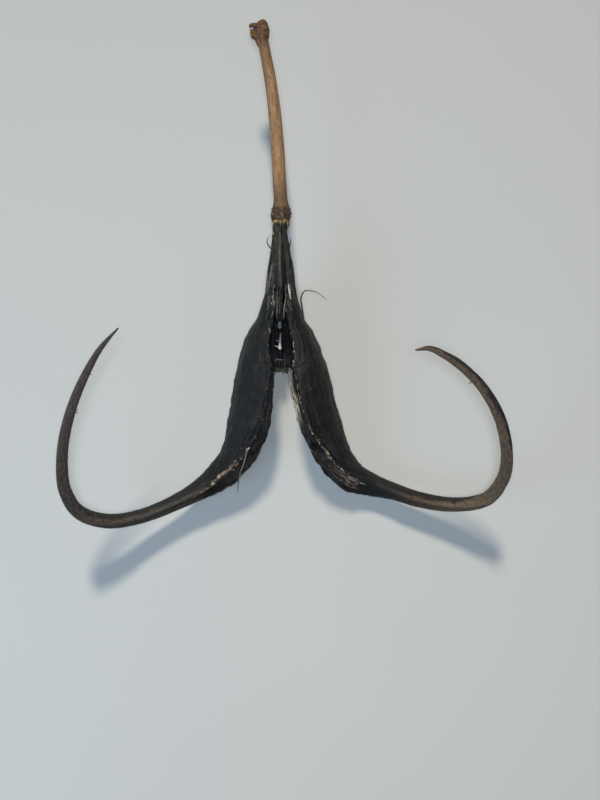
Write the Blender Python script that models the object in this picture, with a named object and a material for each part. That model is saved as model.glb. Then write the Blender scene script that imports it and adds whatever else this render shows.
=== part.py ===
"""Devil's claw seed pod: a split woody capsule with two curved horns, on its stalk.

The pod lies on its belly on a flat surface, +Z up, with the stalk along +Y. The layout below is in
millimetres, with X from the pod's middle plane, Y from the middle of its body and Z from the surface.
The finished pieces are then moved so that the origin is at the centre of the base of their bounds.
"""

import math
import random

import bmesh
import bpy
import numpy as np
from mathutils import Vector

MM = 0.001
LEFT = -1
RIGHT = 1

# Each half of the capsule from inside the neck to the tip of its horn: the middle of the half's section
# (x, y, z), its width from the split face to its back, its height, its hollow (1 is a thin shell, 0 is
# solid) and its outward roll in degrees.
LEFT_HALF = [
    (-0.9, 31.0, 18.8, 5.0, 6.2, 0.0, 0.0),
    (-2.0, 26.0, 17.2, 7.2, 9.6, 0.0, 0.0),
    (-3.9, 22.4, 14.8, 6.2, 14.2, 0.5, 0.0),
    (-6.0, 18.4, 12.9, 7.4, 18.1, 1.0, 0.0),
    (-7.0, 13.9, 11.3, 9.0, 20.4, 1.0, 0.0),
    (-8.0, 6.9, 10.5, 10.2, 20.6, 1.0, 1.5),
    (-9.2, -2.0, 9.0, 10.6, 19.2, 1.0, 5.0),
    (-10.6, -8.0, 7.5, 10.4, 17.0, 1.0, 9.0),
    (-12.1, -13.2, 7.0, 9.1, 14.2, 1.0, 14.0),
    (-15.1, -18.1, 6.4, 7.8, 11.0, 0.9, 18.0),
    (-19.4, -22.4, 6.0, 6.5, 8.2, 0.65, 23.0),
    (-24.4, -25.9, 6.7, 4.7, 5.6, 0.3, 27.0),
    (-31.0, -29.4, 7.7, 3.6, 4.4, 0.15, 30.0),
    (-40.9, -33.3, 9.9, 3.2, 4.0, 0.12, 28.0),
    (-49.4, -34.1, 14.8, 3.3, 4.1, 0.12, 24.0),
    (-55.7, -31.2, 21.0, 3.3, 4.0, 0.12, 20.0),
    (-58.1, -24.8, 27.8, 3.0, 3.7, 0.12, 16.0),
    (-57.6, -15.6, 33.8, 2.6, 3.3, 0.12, 12.0),
    (-54.5, -4.2, 39.0, 2.3, 2.9, 0.1, 10.0),
    (-49.7, 6.2, 42.6, 1.8, 2.2, 0.08, 8.0),
    (-45.0, 13.6, 44.7, 1.1, 1.4, 0.0, 5.0),
    (-40.7, 18.3, 45.6, 0.3, 0.4, 0.0, 0.0),
]
RIGHT_HALF = [
    (0.9, 31.0, 18.7, 5.0, 6.2, 0.0, 0.0),
    (2.0, 26.0, 17.1, 7.2, 9.6, 0.0, 0.0),
    (3.6, 22.4, 14.7, 6.4, 14.2, 0.5, 0.0),
    (5.7, 18.4, 12.7, 7.5, 18.1, 1.0, 1.0),
    (6.9, 13.9, 11.1, 9.1, 20.4, 1.0, 3.0),
    (8.6, 6.9, 10.2, 10.6, 20.6, 1.0, 5.5),
    (10.7, -2.0, 8.85, 10.5, 19.2, 1.0, 7.0),
    (12.7, -8.0, 7.45, 10.2, 17.0, 1.0, 10.5),
    (14.8, -13.2, 7.0, 9.3, 14.2, 1.0, 15.0),
    (17.6, -18.1, 6.2, 8.2, 11.0, 0.9, 20.0),
    (21.3, -21.9, 5.5, 7.4, 8.8, 0.65, 27.0),
    (26.0, -24.1, 5.3, 5.6, 6.6, 0.3, 30.0),
    (31.9, -25.9, 6.0, 4.0, 5.0, 0.15, 32.0),
    (41.0, -28.8, 6.7, 3.5, 4.3, 0.12, 30.0),
    (50.6, -29.9, 9.5, 3.3, 4.1, 0.12, 26.0),
    (58.2, -28.0, 14.8, 3.3, 4.1, 0.12, 22.0),
    (61.3, -22.2, 22.6, 3.1, 3.9, 0.12, 18.0),
    (60.9, -14.5, 31.0, 2.8, 3.5, 0.12, 15.0),
    (57.7, -4.6, 37.2, 2.6, 3.2, 0.12, 12.0),
    (51.0, 4.8, 42.0, 2.2, 2.8, 0.1, 10.0),
    (42.9, 11.1, 44.2, 1.7, 2.1, 0.06, 6.0),
    (38.2, 13.1, 44.9, 1.1, 1.4, 0.0, 3.0),
    (34.9, 12.7, 45.1, 0.3, 0.4, 0.0, 0.0),
]
HORN_START = 62.0
BODY_STEP = 2.1
HORN_STEP = 4.2
WALL = 1.4
WALL_SHARE = 0.27
OUTER_POINTS = 14
INNER_POINTS = 8
FULLNESS = 0.85

# The crest is a low comb on the upper split edge.
CREST_START = 12.0
CREST_END = 58.0
CREST_HEIGHT = 0.9
CREST_SEED = 11

# The ribbed neck between the stalk and the body: y, z, half width, half height.
NECK = [
    (49.6, 19.6, 2.0, 2.1),
    (46.5, 19.5, 1.95, 2.05),
    (42.6, 19.5, 2.4, 2.4),
    (38.2, 19.4, 2.95, 2.85),
    (33.7, 19.1, 3.4, 3.3),
    (29.2, 18.5, 3.9, 4.0),
    (26.4, 17.7, 4.4, 4.6),
    (24.0, 17.0, 4.2, 4.2),
    (22.4, 16.8, 3.0, 3.0),
]
NECK_RIBS = 9
RIB_DEPTH = 0.07
NECK_SIDES = 36
NECK_STATIONS = 13

# The floor of the chamber, where the lower side stays unsplit: y, z of its underside, half width.
FLOOR = [
    (28.0, 13.6, 2.6),
    (24.0, 9.6, 3.2),
    (20.5, 5.4, 3.6),
    (17.0, 2.4, 4.0),
    (13.5, 0.7, 4.4),
    (10.5, -0.1, 4.8),
    (8.4, -0.05, 4.6),
]
FLOOR_THICKNESS = 1.5
FLOOR_POINTS = 7
FLOOR_LIFT = 0.5

# The stalk: x, y, z, radius.
STALK = [
    (0.1, 49.95, 19.6, 2.3),
    (0.1, 51.4, 19.6, 2.7),
    (0.2, 53.4, 19.65, 2.5),
    (0.1, 55.6, 19.75, 2.0),
    (-0.15, 60.0, 19.9, 1.9),
    (-0.85, 71.5, 20.3, 1.85),
    (-2.1, 84.8, 21.0, 1.7),
    (-3.55, 93.5, 21.5, 1.55),
    (-5.0, 101.0, 22.0, 1.5),
]
STALK_SIDES = 20
STALK_STEP = 2.2
COLLAR_END = 54.0
COLLAR_LUMPS = 7
COLLAR_DEPTH = 0.09
KNOB_LOBES = [
    ((-4.9, 102.3, 22.0), (2.0, 2.6, 2.1)),
    ((-5.3, 104.0, 22.2), (1.8, 1.6, 1.7)),
    ((-7.4, 102.6, 21.9), (1.5, 1.7, 1.6)),
]
SCAR = ((-9.0, 102.2, 22.6), (1.25, 1.05, 1.2))

WOODY_BLACK = (0.024, 0.025, 0.027, 1.0)
DRY_TAN = (0.25, 0.145, 0.085, 1.0)


def clear_scene():
    for obj in list(bpy.data.objects):
        bpy.data.objects.remove(obj, do_unlink=True)


def smooth_through(rows, where, keys):
    """The rows of a smooth curve at the places in where; keys holds each row's own place."""
    rows = np.asarray(rows, float)
    keys = np.asarray(keys, float)
    where = np.asarray(where, float)
    slopes = np.gradient(rows, keys, axis=0)
    low = np.clip(np.searchsorted(keys, where, side="right") - 1, 0, len(keys) - 2)
    span = (keys[low + 1] - keys[low])[:, None]
    t = (where - keys[low])[:, None] / span
    start = (2 * t**3 - 3 * t**2 + 1) * rows[low] + (t**3 - 2 * t**2 + t) * span * slopes[low]
    end = (3 * t**2 - 2 * t**3) * rows[low + 1] + (t**3 - t**2) * span * slopes[low + 1]
    return start + end


def lengths_along(points):
    steps = np.linalg.norm(np.diff(np.asarray(points, float)[:, :3], axis=0), axis=1)
    return np.concatenate([[0.0], np.cumsum(steps)])


def stations_of_half(rows):
    """Stations along a half, closer together on the body than on the horn, with each one's length."""
    keys = lengths_along(rows)
    body = np.arange(0.0, HORN_START, BODY_STEP)
    horn_count = math.ceil((keys[-1] - HORN_START) / HORN_STEP)
    where = np.concatenate([body, np.linspace(HORN_START, keys[-1], horn_count + 1)])
    return where, smooth_through(rows, where, keys)


def half_section(width, height, hollow, comb):
    """A half's outline as (out, up) pairs: round its back from the lower edge, then back inside."""
    wall = min(WALL, WALL_SHARE * height)
    points = []
    for phi in np.linspace(-math.pi / 2, math.pi / 2, OUTER_POINTS):
        back = width * max(math.cos(phi), 0.0) ** FULLNESS
        points.append([back - width / 2, height / 2 * math.sin(phi)])
    points[-1][1] += comb
    depth = min(max(hollow, 0.0), 1.0) * (width - wall)
    for phi in np.linspace(math.pi / 2, -math.pi / 2, INNER_POINTS):
        back = depth * max(math.cos(phi), 0.0) ** FULLNESS
        points.append([back - width / 2, (height / 2 - wall) * math.sin(phi)])
    return points


def half_rings(rows, side, seed):
    where, stations = stations_of_half(rows)
    tangents = np.gradient(stations[:, :3], where, axis=0)
    draw = random.Random(seed)
    rings = []
    for at, station, tangent in zip(where, stations, tangents):
        x, y, z, width, height, hollow, roll = station
        roll = math.radians(roll)
        along = Vector(tangent).normalized()
        up = (Vector((0, 0, 1)) - along * along.z).normalized()
        out = along.cross(up) * -side
        up, out = up * math.cos(roll) + out * math.sin(roll), out * math.cos(roll) - up * math.sin(roll)
        crested = CREST_START < at < CREST_END
        comb = CREST_HEIGHT * draw.uniform(0.2, 1.0) if crested else 0.0
        outline = half_section(width, height, hollow, comb)
        rings.append([Vector((x, y, z)) + out * a + up * b for a, b in outline])
    return rings


def neck_rings():
    keys = [-row[0] for row in NECK]
    rings = []
    for y, z, half_width, half_height in smooth_through(NECK, np.linspace(keys[0], keys[-1], NECK_STATIONS), keys):
        ring = []
        for i in range(NECK_SIDES):
            angle = 2 * math.pi * i / NECK_SIDES
            swell = 1 + RIB_DEPTH * math.cos(NECK_RIBS * angle)
            ring.append(Vector((half_width * swell * math.cos(angle), y, z + half_height * swell * math.sin(angle))))
        rings.append(ring)
    return rings


def floor_rings():
    keys = [-row[0] for row in FLOOR]
    rings = []
    for y, underside, half_width in smooth_through(FLOOR, np.linspace(keys[0], keys[-1], 2 * len(FLOOR)), keys):
        across = np.linspace(-1.0, 1.0, FLOOR_POINTS)
        lower = [Vector((half_width * a, y, underside + FLOOR_LIFT * a * a)) for a in across]
        upper = [point + Vector((0, 0, FLOOR_THICKNESS)) for point in reversed(lower)]
        rings.append(lower + upper)
    return rings


def stalk_rings():
    keys = lengths_along(STALK)
    count = math.ceil(keys[-1] / STALK_STEP)
    where = np.unique(np.concatenate([keys[:5], np.linspace(keys[4], keys[-1], count)]))
    stations = smooth_through(STALK, where, keys)
    tangents = np.gradient(stations[:, :3], where, axis=0)
    rings = []
    for station, tangent in zip(stations, tangents):
        along = Vector(tangent).normalized()
        up = (Vector((0, 0, 1)) - along * along.z).normalized()
        side = along.cross(up)
        lumpy = COLLAR_DEPTH if station[1] < COLLAR_END else COLLAR_DEPTH / 4
        ring = []
        for i in range(STALK_SIDES):
            angle = 2 * math.pi * i / STALK_SIDES
            radius = station[3] * (1 + lumpy * math.cos(COLLAR_LUMPS * angle + station[1]))
            ring.append(Vector(station[:3]) + (side * math.cos(angle) + up * math.sin(angle)) * radius)
        rings.append(ring)
    return rings


def object_from(name, bm):
    mesh = bpy.data.meshes.new(name)
    bmesh.ops.recalc_face_normals(bm, faces=bm.faces)
    bm.to_mesh(mesh)
    bm.free()
    obj = bpy.data.objects.new(name, mesh)
    bpy.context.scene.collection.objects.link(obj)
    return obj


def skin(name, rings):
    """A closed solid through rings of equally many points, in millimetres, with its two ends filled."""
    bm = bmesh.new()
    rows = [[bm.verts.new(point * MM) for point in ring] for ring in rings]
    count = len(rows[0])
    for low, high in zip(rows, rows[1:]):
        for i in range(count):
            j = (i + 1) % count
            bm.faces.new((low[i], low[j], high[j], high[i]))
    bm.faces.new(list(reversed(rows[0])))
    bm.faces.new(rows[-1])
    return object_from(name, bm)


def ellipsoid(name, centre, radii):
    bm = bmesh.new()
    bmesh.ops.create_uvsphere(bm, u_segments=20, v_segments=12, radius=1.0)
    for vert in bm.verts:
        vert.co = Vector([MM * (c + r * v) for c, r, v in zip(centre, radii, vert.co)])
    return object_from(name, bm)


def apply_boolean(obj, operation, others):
    """Joins the other objects to obj, or cuts them from it, and removes them."""
    for other in others:
        modifier = obj.modifiers.new(operation.lower(), "BOOLEAN")
        modifier.operation = operation
        modifier.solver = "EXACT"
        modifier.object = other
    bpy.context.view_layer.update()
    evaluated = obj.evaluated_get(bpy.context.evaluated_depsgraph_get())
    mesh = bpy.data.meshes.new_from_object(evaluated)
    obj.modifiers.clear()
    obj.data = mesh
    for other in others:
        bpy.data.objects.remove(other, do_unlink=True)


def cut_flat_at_surface(obj):
    """Cuts off what reaches below z = 0, which leaves small flat resting spots."""
    bm = bmesh.new()
    bm.from_mesh(obj.data)
    everything = bm.verts[:] + bm.edges[:] + bm.faces[:]
    bmesh.ops.bisect_plane(
        bm, geom=everything, dist=1e-7, plane_co=(0, 0, 0), plane_no=(0, 0, -1), clear_outer=True
    )
    rims = [edge for edge in bm.edges if edge.is_boundary]
    bmesh.ops.holes_fill(bm, edges=rims, sides=0)
    bmesh.ops.recalc_face_normals(bm, faces=bm.faces)
    bm.to_mesh(obj.data)
    bm.free()


def finish_mesh(obj, colour, roughness):
    material = bpy.data.materials.new(obj.name)
    material.use_nodes = True
    shader = material.node_tree.nodes["Principled BSDF"]
    shader.inputs["Base Color"].default_value = colour
    shader.inputs["Roughness"].default_value = roughness
    shader.inputs["Metallic"].default_value = 0.0
    obj.data.materials.clear()
    obj.data.materials.append(material)
    obj.data.shade_smooth()
    obj.data.set_sharp_from_angle(angle=math.radians(50))


def make_pod():
    pod = skin("pod", half_rings(LEFT_HALF, LEFT, CREST_SEED))
    others = [
        skin("right_half", half_rings(RIGHT_HALF, RIGHT, CREST_SEED + 1)),
        skin("neck", neck_rings()),
        skin("chamber_floor", floor_rings()),
    ]
    apply_boolean(pod, "UNION", others)
    cut_flat_at_surface(pod)
    finish_mesh(pod, WOODY_BLACK, 0.6)
    return pod


def make_stalk():
    stalk = skin("stalk", stalk_rings())
    lobes = [ellipsoid(f"lobe_{i}", *lobe) for i, lobe in enumerate(KNOB_LOBES)]
    apply_boolean(stalk, "UNION", lobes)
    apply_boolean(stalk, "DIFFERENCE", [ellipsoid("scar", *SCAR)])
    finish_mesh(stalk, DRY_TAN, 0.7)
    return stalk


def centre_on_base(pieces):
    """Moves the pieces' meshes so that the origin is at the centre of the base of their bounds."""
    corners = np.array([vert.co for piece in pieces for vert in piece.data.vertices])
    low, high = corners.min(axis=0), corners.max(axis=0)
    shift = Vector((-(low[0] + high[0]) / 2, -(low[1] + high[1]) / 2, -low[2]))
    for piece in pieces:
        for vert in piece.data.vertices:
            vert.co += shift


clear_scene()
centre_on_base([make_pod(), make_stalk()])
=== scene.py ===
"""The looks of a dry devil's claw seed pod: its husk, crests, neck fibres and stalk, with light and camera.

Sizes are in millimetres, in the pod's own layout: X from its middle plane, Y from the middle of its body
and Z from the surface that it lies on. build_mesh() takes every piece from there into the frame, in metres.
"""

import math
import random
from types import SimpleNamespace

import bpy
import numpy as np
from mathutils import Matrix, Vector
from mathutils.bvhtree import BVHTree


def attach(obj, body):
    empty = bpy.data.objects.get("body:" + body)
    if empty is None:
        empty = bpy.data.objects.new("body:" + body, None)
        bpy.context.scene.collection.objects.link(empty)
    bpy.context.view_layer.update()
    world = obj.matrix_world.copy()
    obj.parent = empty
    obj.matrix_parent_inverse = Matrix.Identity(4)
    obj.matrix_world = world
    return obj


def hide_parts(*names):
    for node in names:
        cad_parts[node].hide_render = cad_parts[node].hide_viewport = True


MM = 0.001
LEFT = -1
RIGHT = 1

# What takes the layout to the frame, whose origin is at the centre of the base of the part's box.
LAYOUT_SHIFT = np.array([-1.7266, -34.509, 0.0])

# Each half of the capsule from inside the neck to the tip of its horn: the middle of the half's section
# (x, y, z), its width from the split face to its back, its height, its hollow (1 is a thin shell, 0 is
# solid) and its outward roll in degrees.
LEFT_HALF = [
    (-2.6, 31.0, 18.8, 2.6, 6.2, 0.0, 0.0),
    (-3.6, 26.0, 17.2, 4.0, 9.6, 0.4, 0.0),
    (-4.5, 22.4, 14.8, 5.0, 14.2, 0.9, 0.0),
    (-6.0, 18.4, 12.9, 7.4, 18.1, 1.0, 0.0),
    (-7.0, 13.9, 11.3, 9.0, 20.4, 1.0, 0.0),
    (-8.0, 6.9, 10.5, 10.2, 20.6, 1.0, 1.5),
    (-9.2, -2.0, 9.0, 10.6, 19.2, 1.0, 5.0),
    (-10.6, -8.0, 7.5, 10.4, 17.0, 1.0, 9.0),
    (-12.1, -13.2, 7.0, 9.1, 14.2, 1.0, 14.0),
    (-15.1, -18.1, 6.4, 7.8, 11.0, 0.9, 18.0),
    (-19.4, -22.4, 6.0, 6.5, 8.2, 0.65, 23.0),
    (-24.4, -25.9, 6.7, 4.7, 5.6, 0.3, 27.0),
    (-31.0, -29.4, 7.7, 3.6, 4.4, 0.15, 30.0),
    (-40.9, -33.3, 9.9, 3.2, 4.0, 0.12, 28.0),
    (-49.4, -34.1, 14.8, 3.3, 4.1, 0.12, 24.0),
    (-55.7, -31.2, 21.0, 3.3, 4.0, 0.12, 20.0),
    (-58.1, -24.8, 27.8, 3.0, 3.7, 0.12, 16.0),
    (-57.6, -15.6, 33.8, 2.6, 3.3, 0.12, 12.0),
    (-54.5, -4.2, 39.0, 2.3, 2.9, 0.1, 10.0),
    (-49.7, 6.2, 42.6, 1.8, 2.2, 0.08, 8.0),
    (-45.0, 13.6, 44.7, 1.1, 1.4, 0.0, 5.0),
    (-40.7, 18.3, 45.6, 0.3, 0.4, 0.0, 0.0),
]
RIGHT_HALF = [
    (2.7, 31.0, 18.7, 2.4, 6.2, 0.0, 0.0),
    (3.7, 26.0, 17.1, 3.8, 9.6, 0.4, 0.0),
    (4.5, 22.4, 14.7, 4.6, 14.2, 0.9, 0.0),
    (6.0, 18.4, 12.7, 6.9, 18.1, 1.0, 1.0),
    (7.1, 13.9, 11.1, 8.7, 20.4, 1.0, 3.0),
    (8.6, 6.9, 10.2, 10.6, 20.6, 1.0, 5.5),
    (10.7, -2.0, 8.85, 10.5, 19.2, 1.0, 7.0),
    (12.7, -8.0, 7.45, 10.2, 17.0, 1.0, 10.5),
    (14.8, -13.2, 7.0, 9.3, 14.2, 1.0, 15.0),
    (17.6, -18.1, 6.2, 8.2, 11.0, 0.9, 20.0),
    (21.3, -21.9, 5.5, 7.4, 8.8, 0.65, 27.0),
    (26.0, -24.1, 5.3, 5.6, 6.6, 0.3, 30.0),
    (31.9, -25.9, 6.0, 4.0, 5.0, 0.15, 32.0),
    (41.0, -28.8, 6.7, 3.5, 4.3, 0.12, 30.0),
    (50.6, -29.9, 9.5, 3.3, 4.1, 0.12, 26.0),
    (58.2, -28.0, 14.8, 3.3, 4.1, 0.12, 22.0),
    (61.3, -22.2, 22.6, 3.1, 3.9, 0.12, 18.0),
    (60.9, -14.5, 31.0, 2.8, 3.5, 0.12, 15.0),
    (57.7, -4.6, 37.2, 2.6, 3.2, 0.12, 12.0),
    (51.0, 4.8, 42.0, 2.2, 2.8, 0.1, 10.0),
    (42.9, 11.1, 44.2, 1.7, 2.1, 0.06, 6.0),
    (38.2, 13.1, 44.9, 1.1, 1.4, 0.0, 3.0),
    (34.9, 12.7, 45.1, 0.3, 0.4, 0.0, 0.0),
]

# Both halves: the step from station to station, how many points go round the back, over a rim and inside,
# and the wall's thickness, which becomes LIP at the rims.
STATION_STEP = 0.42
OUTER_POINTS = 104
RIM_POINTS = 9
INNER_POINTS = 46
RIM_CROWDING = 0.35
CREST_INDEX = OUTER_POINTS + RIM_POINTS // 2
LIP_INDEX = OUTER_POINTS + RIM_POINTS + INNER_POINTS + RIM_POINTS // 2
WALL = 1.4
WALL_SHARE = 0.27
LIP = 0.4
FULLNESS = 0.85

# Lengths along a half: where its body begins and is full, and where it fades and ends.
BODY_RANGE = (8.0, 16.0, 60.0, 72.0)
HORN_BUMPS_RANGE = (60.0, 75.0, 155.0, 163.0)
HORN_COLOUR_RANGE = (60.0, 108.0)

# The crest is a jagged comb on the upper split edge, between these lengths along a half.
CREST_START = 9.0
CREST_END = 66.0
CREST_HEIGHT = 0.75
CREST_STEP = 0.2
CREST_FLAKES = 190
LIP_FLAKES = 110
LIP_FLAKES_RANGE = (18.0, 62.0)

# The wrinkles run along the flow of the husk, which narrows from the body to the horns.
BODY_FLOW = 30.0
HORN_FLOW = 16.0
FLOW_RANGE = (55.0, 130.0)

# The side of each horn that is paler, partly its tan skin and partly painted light that lifts the shaded
# lower side of the horns' runs: length along the half, its direction round the section in degrees (0 is the
# back,
# 90 the top, 180 the split face), how pale it is and how much of the section it takes.
LEFT_TAN_AND_LIT_SIDE = [
    (58.0, 175.0, 0.0, 0.3),
    (68.0, 175.0, 0.65, 0.5),
    (80.0, 175.0, 0.8, 0.55),
    (96.0, 172.0, 0.95, 0.66),
    (106.0, 170.0, 1.05, 0.95),
    (118.0, 170.0, 1.0, 1.15),
    (140.0, 180.0, 1.0, 1.35),
    (165.0, 180.0, 1.0, 1.35),
]
RIGHT_TAN_AND_LIT_SIDE = [
    (58.0, 175.0, 0.0, 0.3),
    (70.0, 172.0, 0.2, 0.4),
    (79.0, 172.0, 0.6, 0.45),
    (90.0, 168.0, 1.1, 0.52),
    (98.0, 140.0, 1.2, 0.7),
    (104.0, 100.0, 1.2, 0.85),
    (112.0, 60.0, 1.2, 0.85),
    (122.0, 30.0, 1.15, 0.5),
    (134.0, 22.0, 1.1, 0.37),
    (147.0, 20.0, 1.1, 0.33),
    (157.0, 20.0, 1.1, 0.38),
    (162.0, 20.0, 1.2, 0.7),
    (166.0, 20.0, 1.3, 1.0),
]

# How far the right crest stands back from the split face: length along the half, distance.
RIGHT_SETBACK = [
    (46.0, 0.0),
    (53.0, 1.0),
    (59.0, 1.7),
    (64.0, 1.6),
    (74.0, 0.0),
]
NO_SETBACK = [(0.0, 0.0)]

# How pale the crest is: length along the half, amount on the left, amount on the right.
CREST_PALENESS = [
    (9.0, 0.4, 0.95),
    (20.0, 0.3, 0.9),
    (26.0, 0.4, 0.5),
    (38.0, 0.9, 0.75),
    (48.0, 0.95, 0.95),
    (66.0, 0.95, 0.8),
]

# The lengths along a half between which its lower lip is a strip of pale straw.
NO_STRAW = (300.0, 310.0)
RIGHT_STRAW = (22.0, 42.0)
STRAW_FIBRES = 14

# What sets each half apart; tan is how far the pale side of its horn goes from grey to tan.
SIDES = {
    LEFT: SimpleNamespace(
        name="left_valve", rows=LEFT_HALF, seed=3, setback=NO_SETBACK, pale=LEFT_TAN_AND_LIT_SIDE,
        straw=NO_STRAW, tan=0.3
    ),
    RIGHT: SimpleNamespace(
        name="right_valve", rows=RIGHT_HALF, seed=8, setback=RIGHT_SETBACK, pale=RIGHT_TAN_AND_LIT_SIDE,
        straw=RIGHT_STRAW, tan=1.0
    ),
}

# The ribbed neck between the stalk and the body: y, z, half width, half height.
NECK = [
    (50.6, 19.6, 2.0, 2.1),
    (46.5, 19.5, 1.95, 2.05),
    (42.6, 19.5, 2.4, 2.4),
    (38.2, 19.4, 2.95, 2.85),
    (33.7, 19.1, 3.4, 3.3),
    (29.2, 18.5, 3.9, 4.0),
    (26.4, 17.7, 4.4, 4.6),
    (24.0, 17.0, 4.2, 4.2),
    (22.4, 16.8, 3.0, 3.0),
]
NECK_SIDES = 160
NECK_STATIONS = 190
NECK_RIBS = 13
RIB_DEPTH = 0.06

# Strands run along the neck, and below NECK_FOOT spread onto the halves; splinters lie beside the slit.
NECK_FOOT = 23.5
NECK_STRANDS = 52
STRAND_TONES = [0.02, 0.12, 0.25, 0.38, 0.52, 0.7]
SPLINTERS = 44
SPLINTER_TONES = [0.08, 0.14, 0.2, 0.3, 0.4, 0.52, 0.7]

# The slit along the top of the neck's lower end: where it begins and is fully open, how far from the
# middle its sides start and end, and the height of its bottom.
SLIT_START = 31.5
SLIT_OPEN = 27.5
SLIT_EDGE = (1.3, 2.1)
SLIT_FLOOR = 15.4

# Strands that lie on the neck and over its slit: x and y of both ends, radius, tone.
NECK_STRIPS = [
    (-0.1, 46.5, 0.0, 32.6, 0.44, 0.40),
    (-0.9, 47.5, -1.2, 34.0, 0.22, 0.24),
    (-1.46, 45.4, -2.4, 36.0, 0.17, 0.52),
    (-2.4, 38.0, -3.3, 31.5, 0.18, 0.46),
    (-2.8, 35.6, -3.1, 31.0, 0.3, 0.40),
    (0.52, 43.0, 0.62, 32.0, 0.14, -0.1),
    (1.2, 45.5, 1.75, 34.5, 0.2, 0.30),
    (1.9, 42.0, 2.7, 33.0, 0.16, 0.38),
    (2.25, 32.3, 2.95, 27.6, 0.30, 1.0),
    (1.5, 31.8, 1.75, 28.4, 0.2, 0.5),
    (-1.95, 31.0, -2.1, 26.4, 0.16, 0.6),
    (-0.9, 31.4, -1.0, 22.6, 0.42, 0.36),
    (-0.1, 32.2, -0.2, 23.6, 0.36, 0.30),
    (0.55, 31.0, 0.3, 25.6, 0.16, 0.2),
    (1.4, 28.6, 0.9, 22.9, 0.16, 0.66),
    (-1.5, 27.8, -2.4, 23.2, 0.14, 0.75),
    (-2.9, 29.5, -3.5, 25.0, 0.16, 0.5),
]
STRIP_BRIDGE = 21.3
STRIP_STATIONS = 40

# The floor of the chamber, where the lower side stays unsplit: y, z of its underside, half width.
FLOOR = [
    (28.0, 13.6, 2.6),
    (24.0, 9.6, 3.2),
    (20.5, 5.4, 3.6),
    (17.0, 2.4, 4.0),
    (13.5, 0.7, 4.4),
    (10.5, 0.1, 4.8),
    (8.4, 0.1, 4.6),
]
FLOOR_THICKNESS = 1.5
FLOOR_LIFT = 0.5
FLOOR_STATIONS = 90
FLOOR_POINTS = 46
FLOOR_CRUMBS = 60
CRUMB_BED = [(9.0, 1.0), (13.5, 2.4), (17.0, 4.2)]
FRINGE_FIBRES = 34

# The stalk: x, y, z, radius.
STALK = [
    (0.1, 49.95, 19.6, 2.3),
    (0.1, 51.4, 19.6, 2.7),
    (0.2, 53.4, 19.65, 2.5),
    (0.1, 55.6, 19.75, 2.0),
    (-0.15, 60.0, 19.9, 1.9),
    (-0.85, 71.5, 20.3, 1.85),
    (-2.1, 84.8, 21.0, 1.7),
    (-3.55, 93.5, 21.5, 1.55),
    (-5.0, 101.0, 22.0, 1.5),
]
STALK_SIDES = 48
STALK_STEP = 0.5
STALK_VOXEL = 0.17
COLLAR_FADE = (53.6, 54.6)
KNOB_RISE = (98.5, 101.5)
KNOB_LOBES = [
    ((-4.85, 102.0, 22.0), (1.85, 3.9, 1.95)),
    ((-5.0, 104.2, 22.2), (1.6, 1.4, 1.5)),
    ((-7.25, 103.85, 22.5), (1.5, 0.8, 1.0)),
    ((-7.5, 101.3, 22.3), (0.75, 1.15, 0.85)),
    ((-7.0, 102.5, 21.6), (1.45, 1.8, 1.2)),
    ((-6.3, 101.5, 21.8), (1.2, 2.1, 1.4)),
    ((-5.75, 100.0, 21.8), (1.0, 1.9, 1.3)),
]
SCAR = ((-7.45, 102.15, 23.1), (0.85, 0.85, 0.8))
LOBE_RINGS = 20
LOBE_SIDES = 32

# A small pale spot above the scar: x, y and radius.
PALE_SPOT = (-7.75, 103.0, 0.32)

# The septum stands between the halves on the chamber floor: y, height of its top, half width there.
SEPTUM = [
    (28.0, 14.9, 0.5),
    (25.6, 14.6, 0.4),
    (23.5, 12.5, 0.3),
    (20.8, 13.6, 0.42),
    (20.3, 12.6, 0.35),
    (19.3, 12.4, 0.25),
    (14.5, 14.3, 0.5),
    (13.8, 13.0, 0.4),
    (12.9, 6.0, 0.5),
    (12.4, 2.6, 0.6),
]

# Its torn top edge shines in two strips and three short arms, whose pale colour is a painted highlight:
# routes, half width at both ends.
SEPTUM_STRIPS = [
    ([(-0.3, 20.4, 14.15), (-0.36, 21.9, 13.7), (-0.3, 23.4, 13.4)], 0.46, 0.38),
    ([(-0.2, 14.3, 14.9), (-0.25, 16.6, 13.92), (-0.05, 19.4, 12.75)], 0.52, 0.24),
    ([(-0.2, 15.0, 14.6), (-0.9, 15.2, 14.5), (-1.8, 15.6, 14.3)], 0.26, 0.16),
    ([(-0.2, 16.6, 13.95), (-0.9, 17.0, 13.8), (-1.6, 17.2, 13.7)], 0.2, 0.12),
    ([(0.3, 11.9, 2.9), (-0.8, 12.1, 2.9), (-1.9, 11.9, 3.1)], 0.12, 0.2),
]
SEPTUM_STATIONS = 130
SHINE_TILT = 0.424
SHINE_STATIONS = 30

# Hairs that curl away from the pod: their routes, then radius at the root, and tone at both ends.
HAIRS = [
    ([(6.6, 22.6, 14.8), (6.0, 26.8, 17.4), (5.8, 28.8, 19.0), (6.9, 30.5, 20.5), (8.0, 30.5, 21.3),
      (10.2, 29.9, 21.8), (13.0, 27.9, 21.0)], 0.27, 0.4, 0.62),
    ([(-1.9, 41.9, 20.2), (-3.2, 43.0, 20.4), (-3.7, 44.3, 20.6), (-3.5, 45.2, 20.6),
      (-3.0, 45.8, 20.4)], 0.19, 0.1, 0.12),
    ([(2.3, 42.0, 20.2), (2.8, 43.8, 20.4), (3.0, 45.4, 20.5)], 0.17, 0.12, 0.1),
    ([(-8.4, -11.4, 14.0), (-9.9, -15.0, 12.6), (-10.7, -18.0, 10.6), (-11.9, -21.1, 8.2),
      (-12.6, -23.6, 5.8), (-12.9, -25.6, 3.6), (-13.1, -27.6, 1.6)], 0.25, 0.95, 0.05),
    ([(-3.4, 24.5, 21.3), (-3.9, 22.9, 22.0), (-3.6, 21.2, 22.1)], 0.12, 0.3, 0.5),
]

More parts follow.
